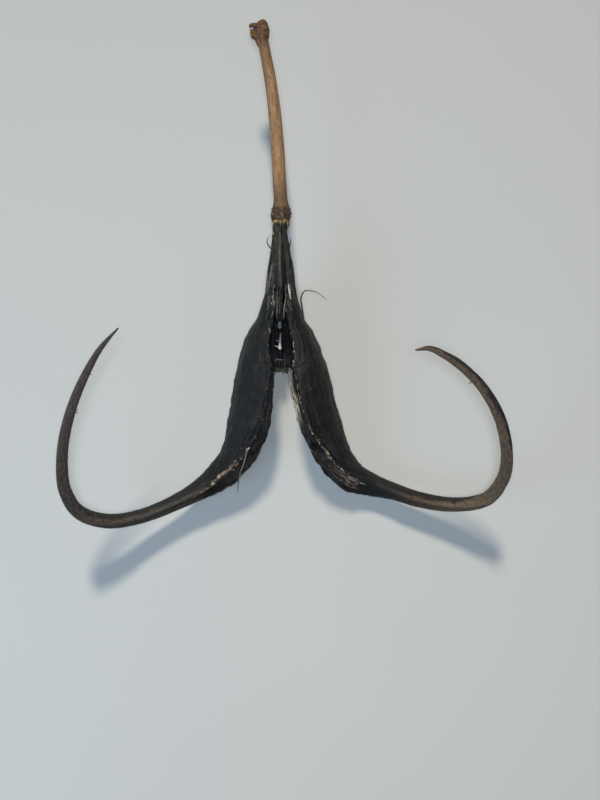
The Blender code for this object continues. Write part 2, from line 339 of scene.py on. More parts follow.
# Short barbs on the horns: side, length along the half, how far it stands out.
HORN_BARBS = [
    (LEFT, 124.0, 0.35),
    (LEFT, 138.0, 0.9),
    (LEFT, 138.7, 0.6),
    (LEFT, 149.5, 0.4),
    (RIGHT, 146.5, 0.8),
]

# Torn strips across the opening at the foot of each horn: side, lengths of both ends, how far from the
# crest (0) to the lower lip (1) both ends lie, radius, tone.
GROOVE_STRIPS = [
    (LEFT, 50.0, 62.0, -0.30, -0.16, 0.50, 0.52),
    (LEFT, 63.0, 69.0, -0.16, 0.05, 0.30, 0.46),
    (LEFT, 51.0, 63.0, 0.97, 1.0, 0.17, 0.62),
    (RIGHT, 46.0, 53.0, -0.04, 0.02, 0.34, 0.74),
    (RIGHT, 48.0, 54.0, 0.16, 0.10, 0.20, 0.60),
    (RIGHT, 53.0, 63.5, 0.04, 0.30, 0.30, 0.60),
    (RIGHT, 55.0, 62.0, 0.62, 0.72, 0.30, 0.46),
]

# Nets of finer fibres: side, range of lengths, range of places across the opening, how many, mean tone.
NET_FIBRES = [
    (LEFT, 50.0, 66.0, -0.35, 0.1, 12, 0.45),
    (LEFT, 40.0, 62.0, 0.85, 1.0, 12, 0.2),
    (RIGHT, 51.0, 61.5, 0.05, 0.6, 38, 0.42),
    (LEFT, 24.0, 46.0, 0.6, 1.0, 12, 0.22),
    (RIGHT, 26.0, 56.0, 0.5, 1.0, 14, 0.22),
    (LEFT, 12.0, 46.0, -0.14, 0.14, 24, 0.22),
    (RIGHT, 10.0, 46.0, -0.14, 0.14, 24, 0.4),
]

# Pale specks caught on the husk: x, y, size.
SPECKS = [
    (8.6, 3.2, 0.24),
    (10.1, -8.6, 0.16),
    (12.1, -17.8, 0.22),
    (-11.2, -13.8, 0.26),
    (-13.7, -17.4, 0.2),
    (-8.6, 1.4, 0.12),
    (9.4, 12.5, 0.12),
    (-5.9, -4.6, 0.3),
    (5.0, 8.6, 0.2),
]

# The crumbs of the collar: y, radius and how many stand there.
COLLAR_RINGS = [(50.9, 2.45, 22), (51.6, 2.66, 20), (52.4, 2.66, 20), (53.2, 2.5, 18), (53.9, 2.3, 14)]
CRUMB_TONES = [0.05, 0.15, 0.25, 0.35, 0.42, 0.5, 0.6, 0.8]

# The teeth of the collar: how many, the y of root and tip, and how far from the axis both are.
COLLAR_TEETH = 21
TOOTH_ROOT = 50.5
TOOTH_TIP = 47.9
ROOT_OUT = 2.5
TIP_OUT = 2.28

# Scraps of gold bark that hang on the neck below the collar: centre, half length along the neck, tone.
SCRAPS = [((-1.95, 46.6, 20.2), (0.25, 1.0, 0.0), 0.75), ((-2.1, 45.7, 20.1), (-0.2, 0.6, 0.0), 0.2),
          ((-1.9, 47.4, 20.0), (0.3, 0.5, 0.0), 0.5)]

# Colour ramps: a value from 0 to 1, then the red, green and blue there.
SLATE = [(0.39, 0.0035, 0.0041, 0.0045), (0.52, 0.0130, 0.0145, 0.0155), (0.64, 0.040, 0.042, 0.044)]
HORN_DARK = [(0.3, 0.016, 0.015, 0.015), (0.72, 0.050, 0.045, 0.043)]
HORN_GREY = [(0.3, 0.048, 0.041, 0.041), (0.5, 0.092, 0.081, 0.080), (0.72, 0.165, 0.146, 0.142)]
HORN_TAN = [(0.28, 0.082, 0.053, 0.036), (0.5, 0.200, 0.134, 0.088), (0.74, 0.370, 0.255, 0.160)]
LINING = [(0.4, 0.007, 0.006, 0.006), (0.62, 0.022, 0.016, 0.014), (0.78, 0.150, 0.088, 0.070)]
LIP_BROWN = [(0.36, 0.010, 0.007, 0.006), (0.56, 0.032, 0.023, 0.020), (0.74, 0.19, 0.132, 0.108)]
CREST_CREAM = [(0.42, 0.016, 0.012, 0.011), (0.6, 0.10, 0.078, 0.064), (0.76, 0.55, 0.49, 0.42)]
STRAW = [(0.3, 0.58, 0.49, 0.33), (0.66, 0.95, 0.92, 0.79)]
NECK_GREY = [
    (0.42, 0.005, 0.005, 0.005), (0.49, 0.020, 0.019, 0.019),
    (0.56, 0.090, 0.085, 0.080), (0.64, 0.34, 0.305, 0.265),
]
FRINGE = [(0.35, 0.07, 0.075, 0.06), (0.66, 0.46, 0.47, 0.40)]
SKIN = [(0.3, 0.010, 0.010, 0.012), (0.7, 0.055, 0.050, 0.055)]
BROWN_FIBRE = [
    (0.0, 0.008, 0.007, 0.007), (0.3, 0.055, 0.036, 0.029), (0.5, 0.210, 0.124, 0.090),
    (0.75, 0.54, 0.415, 0.32), (1.0, 0.86, 0.80, 0.72),
]
GREY_FIBRE = [
    (0.0, 0.008, 0.007, 0.007), (0.3, 0.052, 0.047, 0.043), (0.5, 0.150, 0.135, 0.118),
    (0.75, 0.44, 0.39, 0.32), (1.0, 0.86, 0.80, 0.72),
]
COLLAR_BARK = [
    (0.0, 0.014, 0.009, 0.006), (0.3, 0.085, 0.052, 0.032), (0.55, 0.20, 0.125, 0.070),
    (0.75, 0.46, 0.30, 0.15), (1.0, 0.82, 0.62, 0.36),
]
WOOD_TAN = [(0.3, 0.25, 0.125, 0.058), (0.5, 0.50, 0.275, 0.138), (0.72, 0.72, 0.44, 0.235)]
# The dark bark of the collar and of the stalk's ends, also used for the painted shade down the stalk's
# sides.
BARK_AND_SIDE_SHADE = [(0.34, 0.016, 0.010, 0.007), (0.52, 0.115, 0.070, 0.044), (0.72, 0.36, 0.235, 0.145)]
KNOB_RED = [(0.36, 0.030, 0.013, 0.007), (0.5, 0.135, 0.062, 0.033), (0.68, 0.42, 0.195, 0.100)]
SCAR_BROWN = [(0.35, 0.020, 0.012, 0.006), (0.7, 0.32, 0.19, 0.07)]
TABLE_GREY = [(0.3, 0.80, 0.80, 0.795), (0.7, 0.815, 0.815, 0.812)]

# Plain colours that are laid over a ramp in patches.
WARM_BLACK = (0.019, 0.0165, 0.015)
# A painted highlight on the ridges of the folds near the crest.
FOLD_HIGHLIGHT = (0.052, 0.045, 0.047)
DUST = (0.11, 0.10, 0.095)
NECK_BROWN = (0.020, 0.017, 0.015)
# The black of the painted shade in the neck's grooves.
GROOVE_SHADE = (0.006, 0.005, 0.005)
# A painted highlight: the pale colour of the septum's shining strips.
PAINTED_HIGHLIGHT = (0.40, 0.385, 0.45)
WOOD_BROWN = (0.27, 0.145, 0.078)
PORE_BROWN = (0.055, 0.032, 0.020)
# The colour of the small pale spot above the scar.
PALE_SPOT_COLOUR = (0.95, 0.87, 0.76)

# The seeds of the random draws.
STRAND_SEED = 5
CREST_SEED = 17
GROOVE_SEED = 23
HAIR_SEED = 29
FRINGE_SEED = 31
SPLINTER_SEED = 37
COLLAR_SEED = 43
STRAW_SEED = 300

# Strands are laid from this height, and end where what is below them drops by more than a step.
DRAPE_FROM = 60.0
DRAPE_STEP = 0.9

# The photograph was taken from straight above.
CAMERA_HEIGHT = 300.0
CAMERA_X = 5.5
LENS = 45.0
SENSOR = 36.0

# A sun SUN_WIDTH degrees wide shines down the picture, a lamp hangs above the camera, and a window stands at
# the lower left. The lamp's radius and the window's place and size are in metres.
SUN_STRENGTH = 1.56
SUN_COLOUR = (1.05, 0.97, 0.79)
SUN_DIRECTION = (0.10, -1.05, -1.0)
SUN_WIDTH = 6.5
CEILING_STRENGTH = 1.29
CEILING_COLOUR = (0.82, 0.94, 1.02)
CEILING_HEIGHT = 360.0
CEILING_RADIUS = 0.025
WINDOW_STRENGTH = 0.56
WINDOW_COLOUR = (0.50, 0.73, 1.0)
WINDOW_PLACE = (-0.34, -0.22, 0.25)
WINDOW_SIZE = 0.28
ROOM_STRENGTH = 0.05
ROOM_COLOUR = (0.78, 0.88, 1.02, 1.0)
TABLE_REACH = 900.0


def smooth_through(rows, where, keys):
    """The rows of a smooth curve at the places in where; keys holds each row's own place."""
    rows = np.asarray(rows, float)
    keys = np.asarray(keys, float)
    where = np.asarray(where, float)
    slopes = np.gradient(rows, keys, axis=0)
    low = np.clip(np.searchsorted(keys, where, side="right") - 1, 0, len(keys) - 2)
    span = (keys[low + 1] - keys[low])[:, None]
    t = (where - keys[low])[:, None] / span
    start = (2 * t**3 - 3 * t**2 + 1) * rows[low] + (t**3 - 2 * t**2 + t) * span * slopes[low]
    end = (3 * t**2 - 2 * t**3) * rows[low + 1] + (t**3 - t**2) * span * slopes[low + 1]
    return start + end


def lengths_along(points):
    steps = np.linalg.norm(np.diff(np.asarray(points, float)[:, :3], axis=0), axis=1)
    return np.concatenate([[0.0], np.cumsum(steps)])


def even_stations(rows, step):
    """Stations about a step apart along rows that start with x, y and z, with the length of each."""
    keys = lengths_along(rows)
    where = np.linspace(0.0, keys[-1], int(keys[-1] / step) + 1)
    return where, smooth_through(rows, where, keys)


def stations_down(rows, count):
    """Even stations through rows that start with their y, from the highest y to the lowest."""
    keys = [-row[0] for row in rows]
    return smooth_through(rows, np.linspace(keys[0], keys[-1], count), keys)


def looked_up(rows, places, column, key=0):
    """A column of a table at places between the values in its key column."""
    rows = np.array(rows)
    rows = rows[np.argsort(rows[:, key])]
    return np.interp(places, rows[:, key], rows[:, column])


def unit(vectors):
    lengths = np.linalg.norm(vectors, axis=-1, keepdims=True)
    return vectors / np.maximum(lengths, 1e-9)


def directions(middle, where):
    """The directions along a line of points, and up from it."""
    along = unit(np.gradient(middle, where, axis=0))
    return along, unit(np.array([0.0, 0.0, 1.0]) - along * along[:, 2:])


def full_turn(count):
    return np.linspace(0, 2 * math.pi, count, endpoint=False)[None, :]


def eased(values, low, high):
    """0 below low, 1 above high, and a smooth rise between them."""
    t = np.clip((np.asarray(values, float) - low) / (high - low), 0.0, 1.0)
    return t * t * (3 - 2 * t)


def between(values, start, full, fade, end):
    """1 from full to fade, and 0 before start and after end."""
    return eased(values, start, full) * (1 - eased(values, fade, end))


def near(distance, width):
    """1 at no distance, and less the further away, within about twice the width."""
    return np.exp(-((distance / width) ** 2))


def lattice(cells, seed):
    """A repeatable random number from 0 to 1 for each whole-number cell."""
    mixed = cells[..., 0] * 374761393 + cells[..., 1] * 668265263 + cells[..., 2] * 974634777
    mixed = (mixed + seed * 1274126177) & 0xFFFFFFFF
    mixed = ((mixed ^ (mixed >> 13)) * 1103515245) & 0xFFFFFFFF
    return ((mixed ^ (mixed >> 16)) & 0xFFFFFF) / 0xFFFFFF


def noise(x, y, z, seed):
    """Smooth noise from -1 to 1 at the places given by three arrays or numbers."""
    places = np.stack(np.broadcast_arrays(x, y, z), axis=-1).astype(float)
    cells = np.floor(places).astype(np.int64)
    t = places - cells
    t = t * t * (3 - 2 * t)
    total = np.zeros(places.shape[:-1])
    for corner in np.ndindex(2, 2, 2):
        weight = np.prod(np.where(np.array(corner) == 1, t, 1 - t), axis=-1)
        total += weight * lattice(cells + np.array(corner), seed)
    return 2 * total - 1


def layered(x, y, z, seed, layers=3):
    """Noise from about -1 to 1 with finer and weaker layers added to the first."""
    total = sum(noise(x * 2**i, y * 2**i, z * 2**i, seed + i) / 2**i for i in range(layers))
    return total / (2 - 2.0 ** (1 - layers))


def ridged(x, y, z, seed):
    """Sharp ridges of height 1 with valleys down to about -1."""
    return 1 - 4 * np.abs(noise(x, y, z, seed))


def grid_normals(grid):
    """Normals of a grid of closed rings."""
    around = np.roll(grid, -1, axis=1) - np.roll(grid, 1, axis=1)
    along = np.gradient(grid, axis=0)
    return unit(np.cross(around, along))


def ring_lengths(grid):
    """How far round its ring each point of a grid lies."""
    steps = np.linalg.norm(np.roll(grid, -1, axis=1) - grid, axis=2)
    return np.concatenate([np.zeros((len(grid), 1)), np.cumsum(steps[:, :-1], axis=1)], axis=1)


def grid_faces(rows, count, turned=False):
    """The faces of closed rings of count points, with each end filled by a fan about an added last point.

    turned is for rings that run the other way round.
    """
    i = np.arange(rows - 1)[:, None] * count
    j = np.arange(count)[None, :]
    k = (j + 1) % count
    faces = np.stack([i + j, i + k, i + count + k, i + count + j], axis=-1).reshape(-1, 4).tolist()
    last = (rows - 1) * count
    hub = rows * count
    faces += [[hub, (j + 1) % count, j] for j in range(count)]
    faces += [[hub + 1, last + j, last + (j + 1) % count] for j in range(count)]
    return [face[::-1] for face in faces] if turned else faces


def with_hubs(grid):
    """The grid's points, then the middle of its first ring and of its last."""
    flat = grid.reshape(-1, grid.shape[-1])
    return np.concatenate([flat, grid[:1].mean(axis=1), grid[-1:].mean(axis=1)])


def to_frame(points):
    """Layout millimetres in, metres in the frame out."""
    return ((np.asarray(points) + LAYOUT_SHIFT) * MM).tolist()


def place_object(name, data):
    obj = bpy.data.objects.new(name, data)
    bpy.context.scene.collection.objects.link(obj)
    return obj


def build_mesh(name, points, faces, attributes, material):
    """A smooth mesh object from layout points, moved into the frame, riding on the pod's body."""
    mesh = bpy.data.meshes.new(name)
    mesh.from_pydata(to_frame(points), [], faces)
    for label, values in attributes.items():
        values = np.asarray(values, float)
        kind = "FLOAT" if values.ndim == 1 else "FLOAT_VECTOR"
        attribute = mesh.attributes.new(label, kind, "POINT")
        attribute.data.foreach_set("value" if values.ndim == 1 else "vector", values.ravel())
    mesh.validate()
    mesh.shade_smooth()
    mesh.materials.append(material)
    obj = place_object(name, mesh)
    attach(obj, "root")
    return obj


def grid_object(name, grid, attributes, material, turned=False):
    """A closed mesh object from a grid of rings."""
    flat = {}
    for label, values in attributes.items():
        hubbed = with_hubs(values if values.ndim == 3 else values[..., None])
        flat[label] = hubbed[:, 0] if hubbed.shape[1] == 1 else hubbed
    return build_mesh(name, with_hubs(grid), grid_faces(*grid.shape[:2], turned), flat, material)


def surface_tree(grids):
    """A search tree over the faces of several grids, in layout millimetres."""
    points = []
    faces = []
    for grid in grids:
        faces += [[len(points) + k for k in face] for face in grid_faces(*grid.shape[:2])]
        points += with_hubs(grid).tolist()
    return BVHTree.FromPolygons(points, faces)


def top_at(tree, x, y):
    """The highest point of the tree's faces at a place, or None."""
    return tree.ray_cast(Vector((x, y, DRAPE_FROM)), Vector((0, 0, -1)))[0]


class Shading:
    """A material's nodes. Each call adds one and returns its output."""

    def __init__(self, name):
        self.material = bpy.data.materials.new(name)
        self.material.use_nodes = True
        self.tree = self.material.node_tree
        self.shader = self.tree.nodes["Principled BSDF"]

    def add(self, kind, inputs, **settings):
        node = self.tree.nodes.new(kind)
        for key, value in settings.items():
            setattr(node, key, value)
        for key, value in inputs.items():
            self.feed(node.inputs[key], value)
        return node

    def feed(self, socket, value):
        if isinstance(value, bpy.types.NodeSocket):
            self.tree.links.new(value, socket)
        else:
            socket.default_value = value

    def value_of(self, label):
        return self.add("ShaderNodeAttribute", {}, attribute_name=label).outputs["Fac"]

    def grain(self, across=1.0, along=1.0):
        """The mesh's grain, a place in millimetres, squeezed so many times across and along it."""
        place = self.add("ShaderNodeAttribute", {}, attribute_name="grain").outputs["Vector"]
        inputs = {"Vector": place, "Scale": (across, along, 1.0)}
        return self.add("ShaderNodeMapping", inputs).outputs["Vector"]

    def noise(self, place, scale=1.0, detail=4.0, roughness=0.6, distortion=0.0):
        inputs = {"Vector": place, "Scale": scale, "Detail": detail, "Roughness": roughness}
        return self.add("ShaderNodeTexNoise", inputs | {"Distortion": distortion}).outputs["Fac"]

    def streaks(self, across, along, **settings):
        """Noise that changes so fast across the grain and along it."""
        return self.noise(self.grain(across, along), **settings)

    def cells(self, place, scale):
        return self.add("ShaderNodeTexVoronoi", {"Vector": place, "Scale": scale}).outputs["Distance"]

    def ranged(self, value, low, high, to_low=0.0, to_high=1.0):
        inputs = {"Value": value, "From Min": low, "From Max": high, "To Min": to_low, "To Max": to_high}
        return self.add("ShaderNodeMapRange", inputs, interpolation_type="SMOOTHSTEP").outputs["Result"]

    def math(self, operation, first, second):
        return self.add("ShaderNodeMath", {0: first, 1: second}, operation=operation).outputs["Value"]

    def mixed(self, first, share, second):
        """The sum of two values, the first with its share and the second with the rest."""
        part = self.math("MULTIPLY", first, share)
        return self.math("ADD", part, self.math("MULTIPLY", second, 1 - share))

    def blend(self, factor, first, second):
        """The first colour where the factor is 0 and the second where it is 1."""
        node = self.add("ShaderNodeMix", {}, data_type="RGBA")
        self.feed(node.inputs[0], factor)
        self.feed(node.inputs[6], first)
        self.feed(node.inputs[7], (*second, 1.0) if isinstance(second, tuple) else second)
        return node.outputs[2]

    def ramp(self, value, stops):
        node = self.add("ShaderNodeValToRGB", {"Fac": value})
        elements = node.color_ramp.elements
        for stop in stops[1:-1]:
            elements.new(stop[0])
        for element, (position, *colour) in zip(elements, stops):
            element.position = position
            element.color = (*colour, 1.0)
        return node.outputs["Color"]

    def cover(self, colour, layers):
        """Lays ramps over a colour; a layer is the attribute that shows it, its pattern and its stops."""
        for label, pattern, stops in layers:
            colour = self.blend(self.value_of(label), colour, self.ramp(pattern, stops))
        return colour

    def bump(self, height, distance, strength=1.0, normal=None):
        inputs = {"Height": height, "Distance": distance * MM, "Strength": strength}
        if normal is not None:
            inputs["Normal"] = normal
        return self.add("ShaderNodeBump", inputs).outputs["Normal"]

    def finish(self, **inputs):
        for key, value in inputs.items():
            self.feed(self.shader.inputs[key.replace("_", " ")], value)
        return self.material


def husk_skin(s, streak, fine):
    """The colour of the outside, from the slate body to the horns with their paler sides.

    The pale sides are partly tan skin and partly painted light on the shaded lower side of the horns' runs;
    the ridges of the folds near the crest carry a painted highlight.
    """
    mottle = s.streaks(1.6, 1.1, detail=7.0, roughness=0.75)
    broad = s.streaks(0.4, 0.13, detail=3.0)
    slate = s.ramp(s.mixed(streak, 0.35, mottle), SLATE)
    warm = s.blend(s.ranged(broad, 0.5, 0.7, 0.0, 0.45), slate, WARM_BLACK)
    # Painted highlight: the ridges of the folds near the crest turn greyer.
    folded = s.blend(s.math("MULTIPLY", s.value_of("fold"), 0.6), warm, FOLD_HIGHLIGHT)
    body = s.blend(s.value_of("horn"), folded, s.ramp(fine, HORN_DARK))
    stripes = s.streaks(1.5, 0.3, detail=6.0, roughness=0.7)
    pale = s.blend(s.value_of("tan"), s.ramp(stripes, HORN_GREY), s.ramp(stripes, HORN_TAN))
    blotches = s.streaks(1.0, 0.9, detail=5.0, roughness=0.7)
    # The paler horn sides: partly tan skin, partly painted light on the shaded lower side of the runs.
    tan_and_lit_patches = s.math("MULTIPLY", s.value_of("pale"), s.ranged(blotches, 0.40, 0.58, 0.35, 1.15))
    dust = s.noise(s.grain(), scale=5.0, detail=3.0, roughness=0.7)
    return s.blend(s.ranged(dust, 0.68, 0.8, 0.0, 0.45), s.blend(tan_and_lit_patches, body, pale), DUST)


def husk_material():
    """The husk: slate black and streaked along its length, browner on the horns, glossy brown inside."""
    s = Shading("husk")
    grain = s.grain()
    streak = s.streaks(2.2, 0.2, detail=6.0, roughness=0.64, distortion=0.4)
    fine = s.streaks(7.0, 0.9)
    colour = s.cover(husk_skin(s, streak, fine), [
        ("inside", s.streaks(1.4, 0.35, scale=1.2, detail=6.0, roughness=0.68), LINING),
        ("lip", s.noise(grain, scale=1.6, detail=5.0, roughness=0.7), LIP_BROWN),
        ("crest", s.noise(grain, scale=2.2, roughness=0.7), CREST_CREAM),
        ("straw", s.streaks(2.4, 0.5, detail=5.0), STRAW),
    ])
    relief = s.bump(streak, 0.16, 0.8)
    relief = s.bump(fine, 0.05, 0.8, relief)
    relief = s.bump(s.noise(grain, scale=9.0, detail=3.0), 0.02, 0.7, relief)
    gloss = s.math("MULTIPLY", s.value_of("inside"), 0.16)
    rough = s.math("SUBTRACT", s.ranged(streak, 0.3, 0.75, 0.5, 0.66), gloss)
    return s.finish(Base_Color=colour, Roughness=rough, Normal=relief, Specular_IOR_Level=0.33)


def neck_material():
    """The neck and chamber floor: streaky grey-brown fibre, with painted shade in the neck's grooves."""
    s = Shading("neck_fibre")
    streak = s.streaks(2.6, 0.14, detail=6.0, roughness=0.66, distortion=0.3)
    threads = s.streaks(7.5, 0.35, detail=5.0)
    broad = s.streaks(0.7, 0.12, detail=3.0)
    colour = s.ramp(s.mixed(streak, 0.6, threads), NECK_GREY)
    darker = s.blend(s.ranged(broad, 0.5, 0.64, 0.0, 0.7), colour, NECK_BROWN)
    # Painted shade in the grooves, the slit and the neck's end.
    groove_shaded = s.blend(s.value_of("groove"), darker, GROOVE_SHADE)
    edged = s.cover(groove_shaded, [("edge", s.noise(s.grain(), scale=1.8), FRINGE)])
    relief = s.bump(streak, 0.2, 0.9)
    relief = s.bump(s.streaks(8.0, 0.8), 0.05, 0.8, relief)
    return s.finish(Base_Color=edged, Roughness=0.58, Normal=relief, Specular_IOR_Level=0.4)


def fibre_material(name, stops):
    """Loose strands and flakes, from near black to cream by their tone."""
    s = Shading(name)
    waver = s.ranged(s.noise(s.grain(), scale=2.5), 0.25, 0.75, -0.14, 0.14)
    colour = s.ramp(s.math("ADD", s.value_of("tone"), waver), stops)
    relief = s.bump(s.streaks(7.0, 1.0, detail=3.0), 0.04, 0.8)
    return s.finish(Base_Color=colour, Roughness=0.62, Normal=relief, Specular_IOR_Level=0.35)


def septum_material():
    """The thin dark skin deep between the halves, which shines, with a painted pale highlight on its strips.
    """
    s = Shading("inner_skin")
    cloud = s.noise(s.grain(), scale=1.1)
    relief = s.bump(s.streaks(3.0, 1.2, detail=3.0), 0.05, 0.7)
    highlighted = s.blend(s.value_of("tone"), s.ramp(cloud, SKIN), PAINTED_HIGHLIGHT)
    rough = s.ranged(cloud, 0.3, 0.7, 0.24, 0.36)
    return s.finish(Base_Color=highlighted, Roughness=rough, Normal=relief, Specular_IOR_Level=0.6)


def collar_material():
    """The crumbs and teeth of the collar, from dark bark to golden straw by their tone."""
    s = Shading("collar_bark")
    waver = s.ranged(s.noise(s.grain(), scale=3.0), 0.25, 0.75, -0.15, 0.15)
    colour = s.ramp(s.math("ADD", s.value_of("tone"), waver), COLLAR_BARK)
    relief = s.bump(s.noise(s.grain(), scale=6.0, detail=3.0), 0.05, 0.8)
    return s.finish(Base_Color=colour, Roughness=0.6, Normal=relief, Specular_IOR_Level=0.35)


def wood_material():
    """The stalk: tan wood with fine darker streaks and dark pores, greyer and cracked at its collar,
    and with painted shade down its sides.
    """
    s = Shading("stalk_wood")
    grain = s.grain()
    streak = s.streaks(2.4, 0.14, detail=6.0)
    mottle = s.noise(grain, scale=0.8, detail=5.0, roughness=0.65)
    mottled = s.blend(s.ranged(mottle, 0.5, 0.66, 0.0, 0.65), s.ramp(streak, WOOD_TAN), WOOD_BROWN)
    pores = s.cells(s.grain(1.5, 0.75), 1.0)
    pored = s.blend(s.ranged(pores, 0.12, 0.2, 0.75, 0.0), mottled, PORE_BROWN)
    covered = s.cover(pored, [
        # The bark layer also lays the painted shade down the stalk's sides.
        ("bark", s.noise(grain, scale=1.6, detail=6.0, roughness=0.72), BARK_AND_SIDE_SHADE),
        ("knob", s.noise(grain, scale=1.1, detail=6.0, roughness=0.7), KNOB_RED),
        ("scar", s.noise(grain, scale=1.4, detail=5.0), SCAR_BROWN),
    ])
    spotted = s.blend(s.value_of("pale_spot"), covered, PALE_SPOT_COLOUR)
    relief = s.bump(streak, 0.12, 0.8)
    relief = s.bump(s.noise(grain, scale=5.0), 0.05, 0.7, relief)
    return s.finish(Base_Color=spotted, Roughness=0.6, Normal=relief, Specular_IOR_Level=0.4)


def rim_angles(start, end, count):
    """Angles from start to end, in quarter turns, which lie closest together near the rims."""
    t = np.linspace(start, end, count)[None, :]
    return math.pi / 2 * ((1 + RIM_CROWDING) * t - RIM_CROWDING * t**3)


def half_outline(width, height, hollow):
    """Outlines of a half as (out, up) pairs for every station: round the back, over the upper rim, inside
    and over the lower rim."""
    width, height, hollow = (values[:, None] for values in (width, height, np.clip(hollow, 0, 1)))
    wall = np.minimum(WALL, WALL_SHARE * height)
    lip = wall + (np.minimum(LIP, wall) - wall) * hollow
    phi = rim_angles(-1, 1, OUTER_POINTS)
    back = np.maximum(np.cos(phi), 0) ** FULLNESS
    outer = np.stack([width * back - width / 2, height / 2 * np.sin(phi)], axis=-1)
    phi = rim_angles(1, -1, INNER_POINTS)
    inside = np.maximum(np.cos(phi), 0) ** FULLNESS
    thickness = lip + (wall - lip) * inside
    reach = hollow * (width - wall)
    inner = np.stack([reach * inside - width / 2, (height / 2 - thickness) * np.sin(phi)], axis=-1)
    turn = np.linspace(0, math.pi, RIM_POINTS + 2)[None, 1:-1]
    bulge = -width / 2 - lip / 2 * np.sin(turn)
    upper = np.stack([bulge, height / 2 - lip / 2 + lip / 2 * np.cos(turn)], axis=-1)
    lower = np.stack([bulge, lip / 2 - height / 2 + lip / 2 * np.cos(turn)], axis=-1)
    return np.concatenate([outer, upper, inner, lower], axis=1)


def rim_distances(rings):
    """How far round its ring each point lies, and how far from the upper rim and the lower one."""
    around = ring_lengths(rings)
    whole = around[:, -1:] + np.linalg.norm(rings[:, :1] - rings[:, -1:], axis=2)
    crest = abs(around - around[:, CREST_INDEX][:, None])
    lip = abs(around - around[:, LIP_INDEX][:, None])
    return around, crest, np.minimum(lip, whole - lip)


def tear_edges(outline, where, body, comb, side):
    """Raises the comb on the crest, sets the crest back, and lets the crest and the lower lip sway."""
    seed = side.seed
    _, to_crest, to_lip = rim_distances(outline)
    jag = 0.5 + 0.4 * noise(where / 2.1, 0.0, 0.0, seed) + 0.5 * noise(where / 0.8, 3.0, 0.0, seed + 1)
    jag = np.clip(jag, 0.0, 1.2)[:, None]
    outline[..., 1] += near(to_crest, 0.3) * CREST_HEIGHT * comb * jag
    crest_sway = 0.26 * layered(where / 4.0, 0.0, 0.0, seed + 2)[:, None] * body
    outline[..., 0] += near(to_crest, 1.5) * crest_sway
    outline[..., 0] += near(to_crest, 2.3) * looked_up(side.setback, where, 1)[:, None]
    lip_sway = 0.46 * layered(where / 2.6, 7.0, 0.0, seed + 3, 4)[:, None] * body
    outline[..., 0] += near(to_lip, 1.3) * lip_sway


def half_grid(side_sign, side):
    """One half as a grid of rings, with the values that shape and colour it."""
    where, stations = even_stations(side.rows, STATION_STEP)
    along, up = directions(stations[:, :3], where)
    out = np.cross(along, up) * -side_sign
    roll = np.radians(stations[:, 6])[:, None]
    up, out = up * np.cos(roll) + out * np.sin(roll), out * np.cos(roll) - up * np.sin(roll)
    outline = half_outline(stations[:, 3], stations[:, 4], stations[:, 5])
    body = between(where, *BODY_RANGE)[:, None]
    comb = between(where, CREST_START, CREST_START + 5, CREST_END - 8, CREST_END)[:, None]
    tear_edges(outline, where, body, comb, side)
    grid = stations[:, None, :3] + out[:, None] * outline[..., :1] + up[:, None] * outline[..., 1:]
    at = np.repeat(where[:, None], outline.shape[1], axis=1)
    inside = np.zeros_like(at)
    inside[:, CREST_INDEX:LIP_INDEX] = 1.0
    direction = np.degrees(np.arctan2(outline[..., 1], outline[..., 0] + 0.25 * stations[:, None, 3]))
    facing = grid_normals(grid)[:, OUTER_POINTS // 2]
    sign = 1 if np.sum(facing * out) > 0 else -1
    return SimpleNamespace(
        grid=grid, at=at, inside=inside, body=body, comb=comb, sign=sign,
        hollow=stations[:, 5][:, None], direction=direction, out=out, up=up
    )


def flow_round(around, at):
    """Where each point lies across the flow of the husk: 0 at the crest, minus outside and plus inside."""
    crest = around[:, CREST_INDEX][:, None]
    lip = around[:, LIP_INDEX][:, None]
    width = BODY_FLOW + (HORN_FLOW - BODY_FLOW) * eased(at, *FLOW_RANGE)
    return np.where(around < crest, around / crest - 1, (around - crest) / (lip - crest)) * width


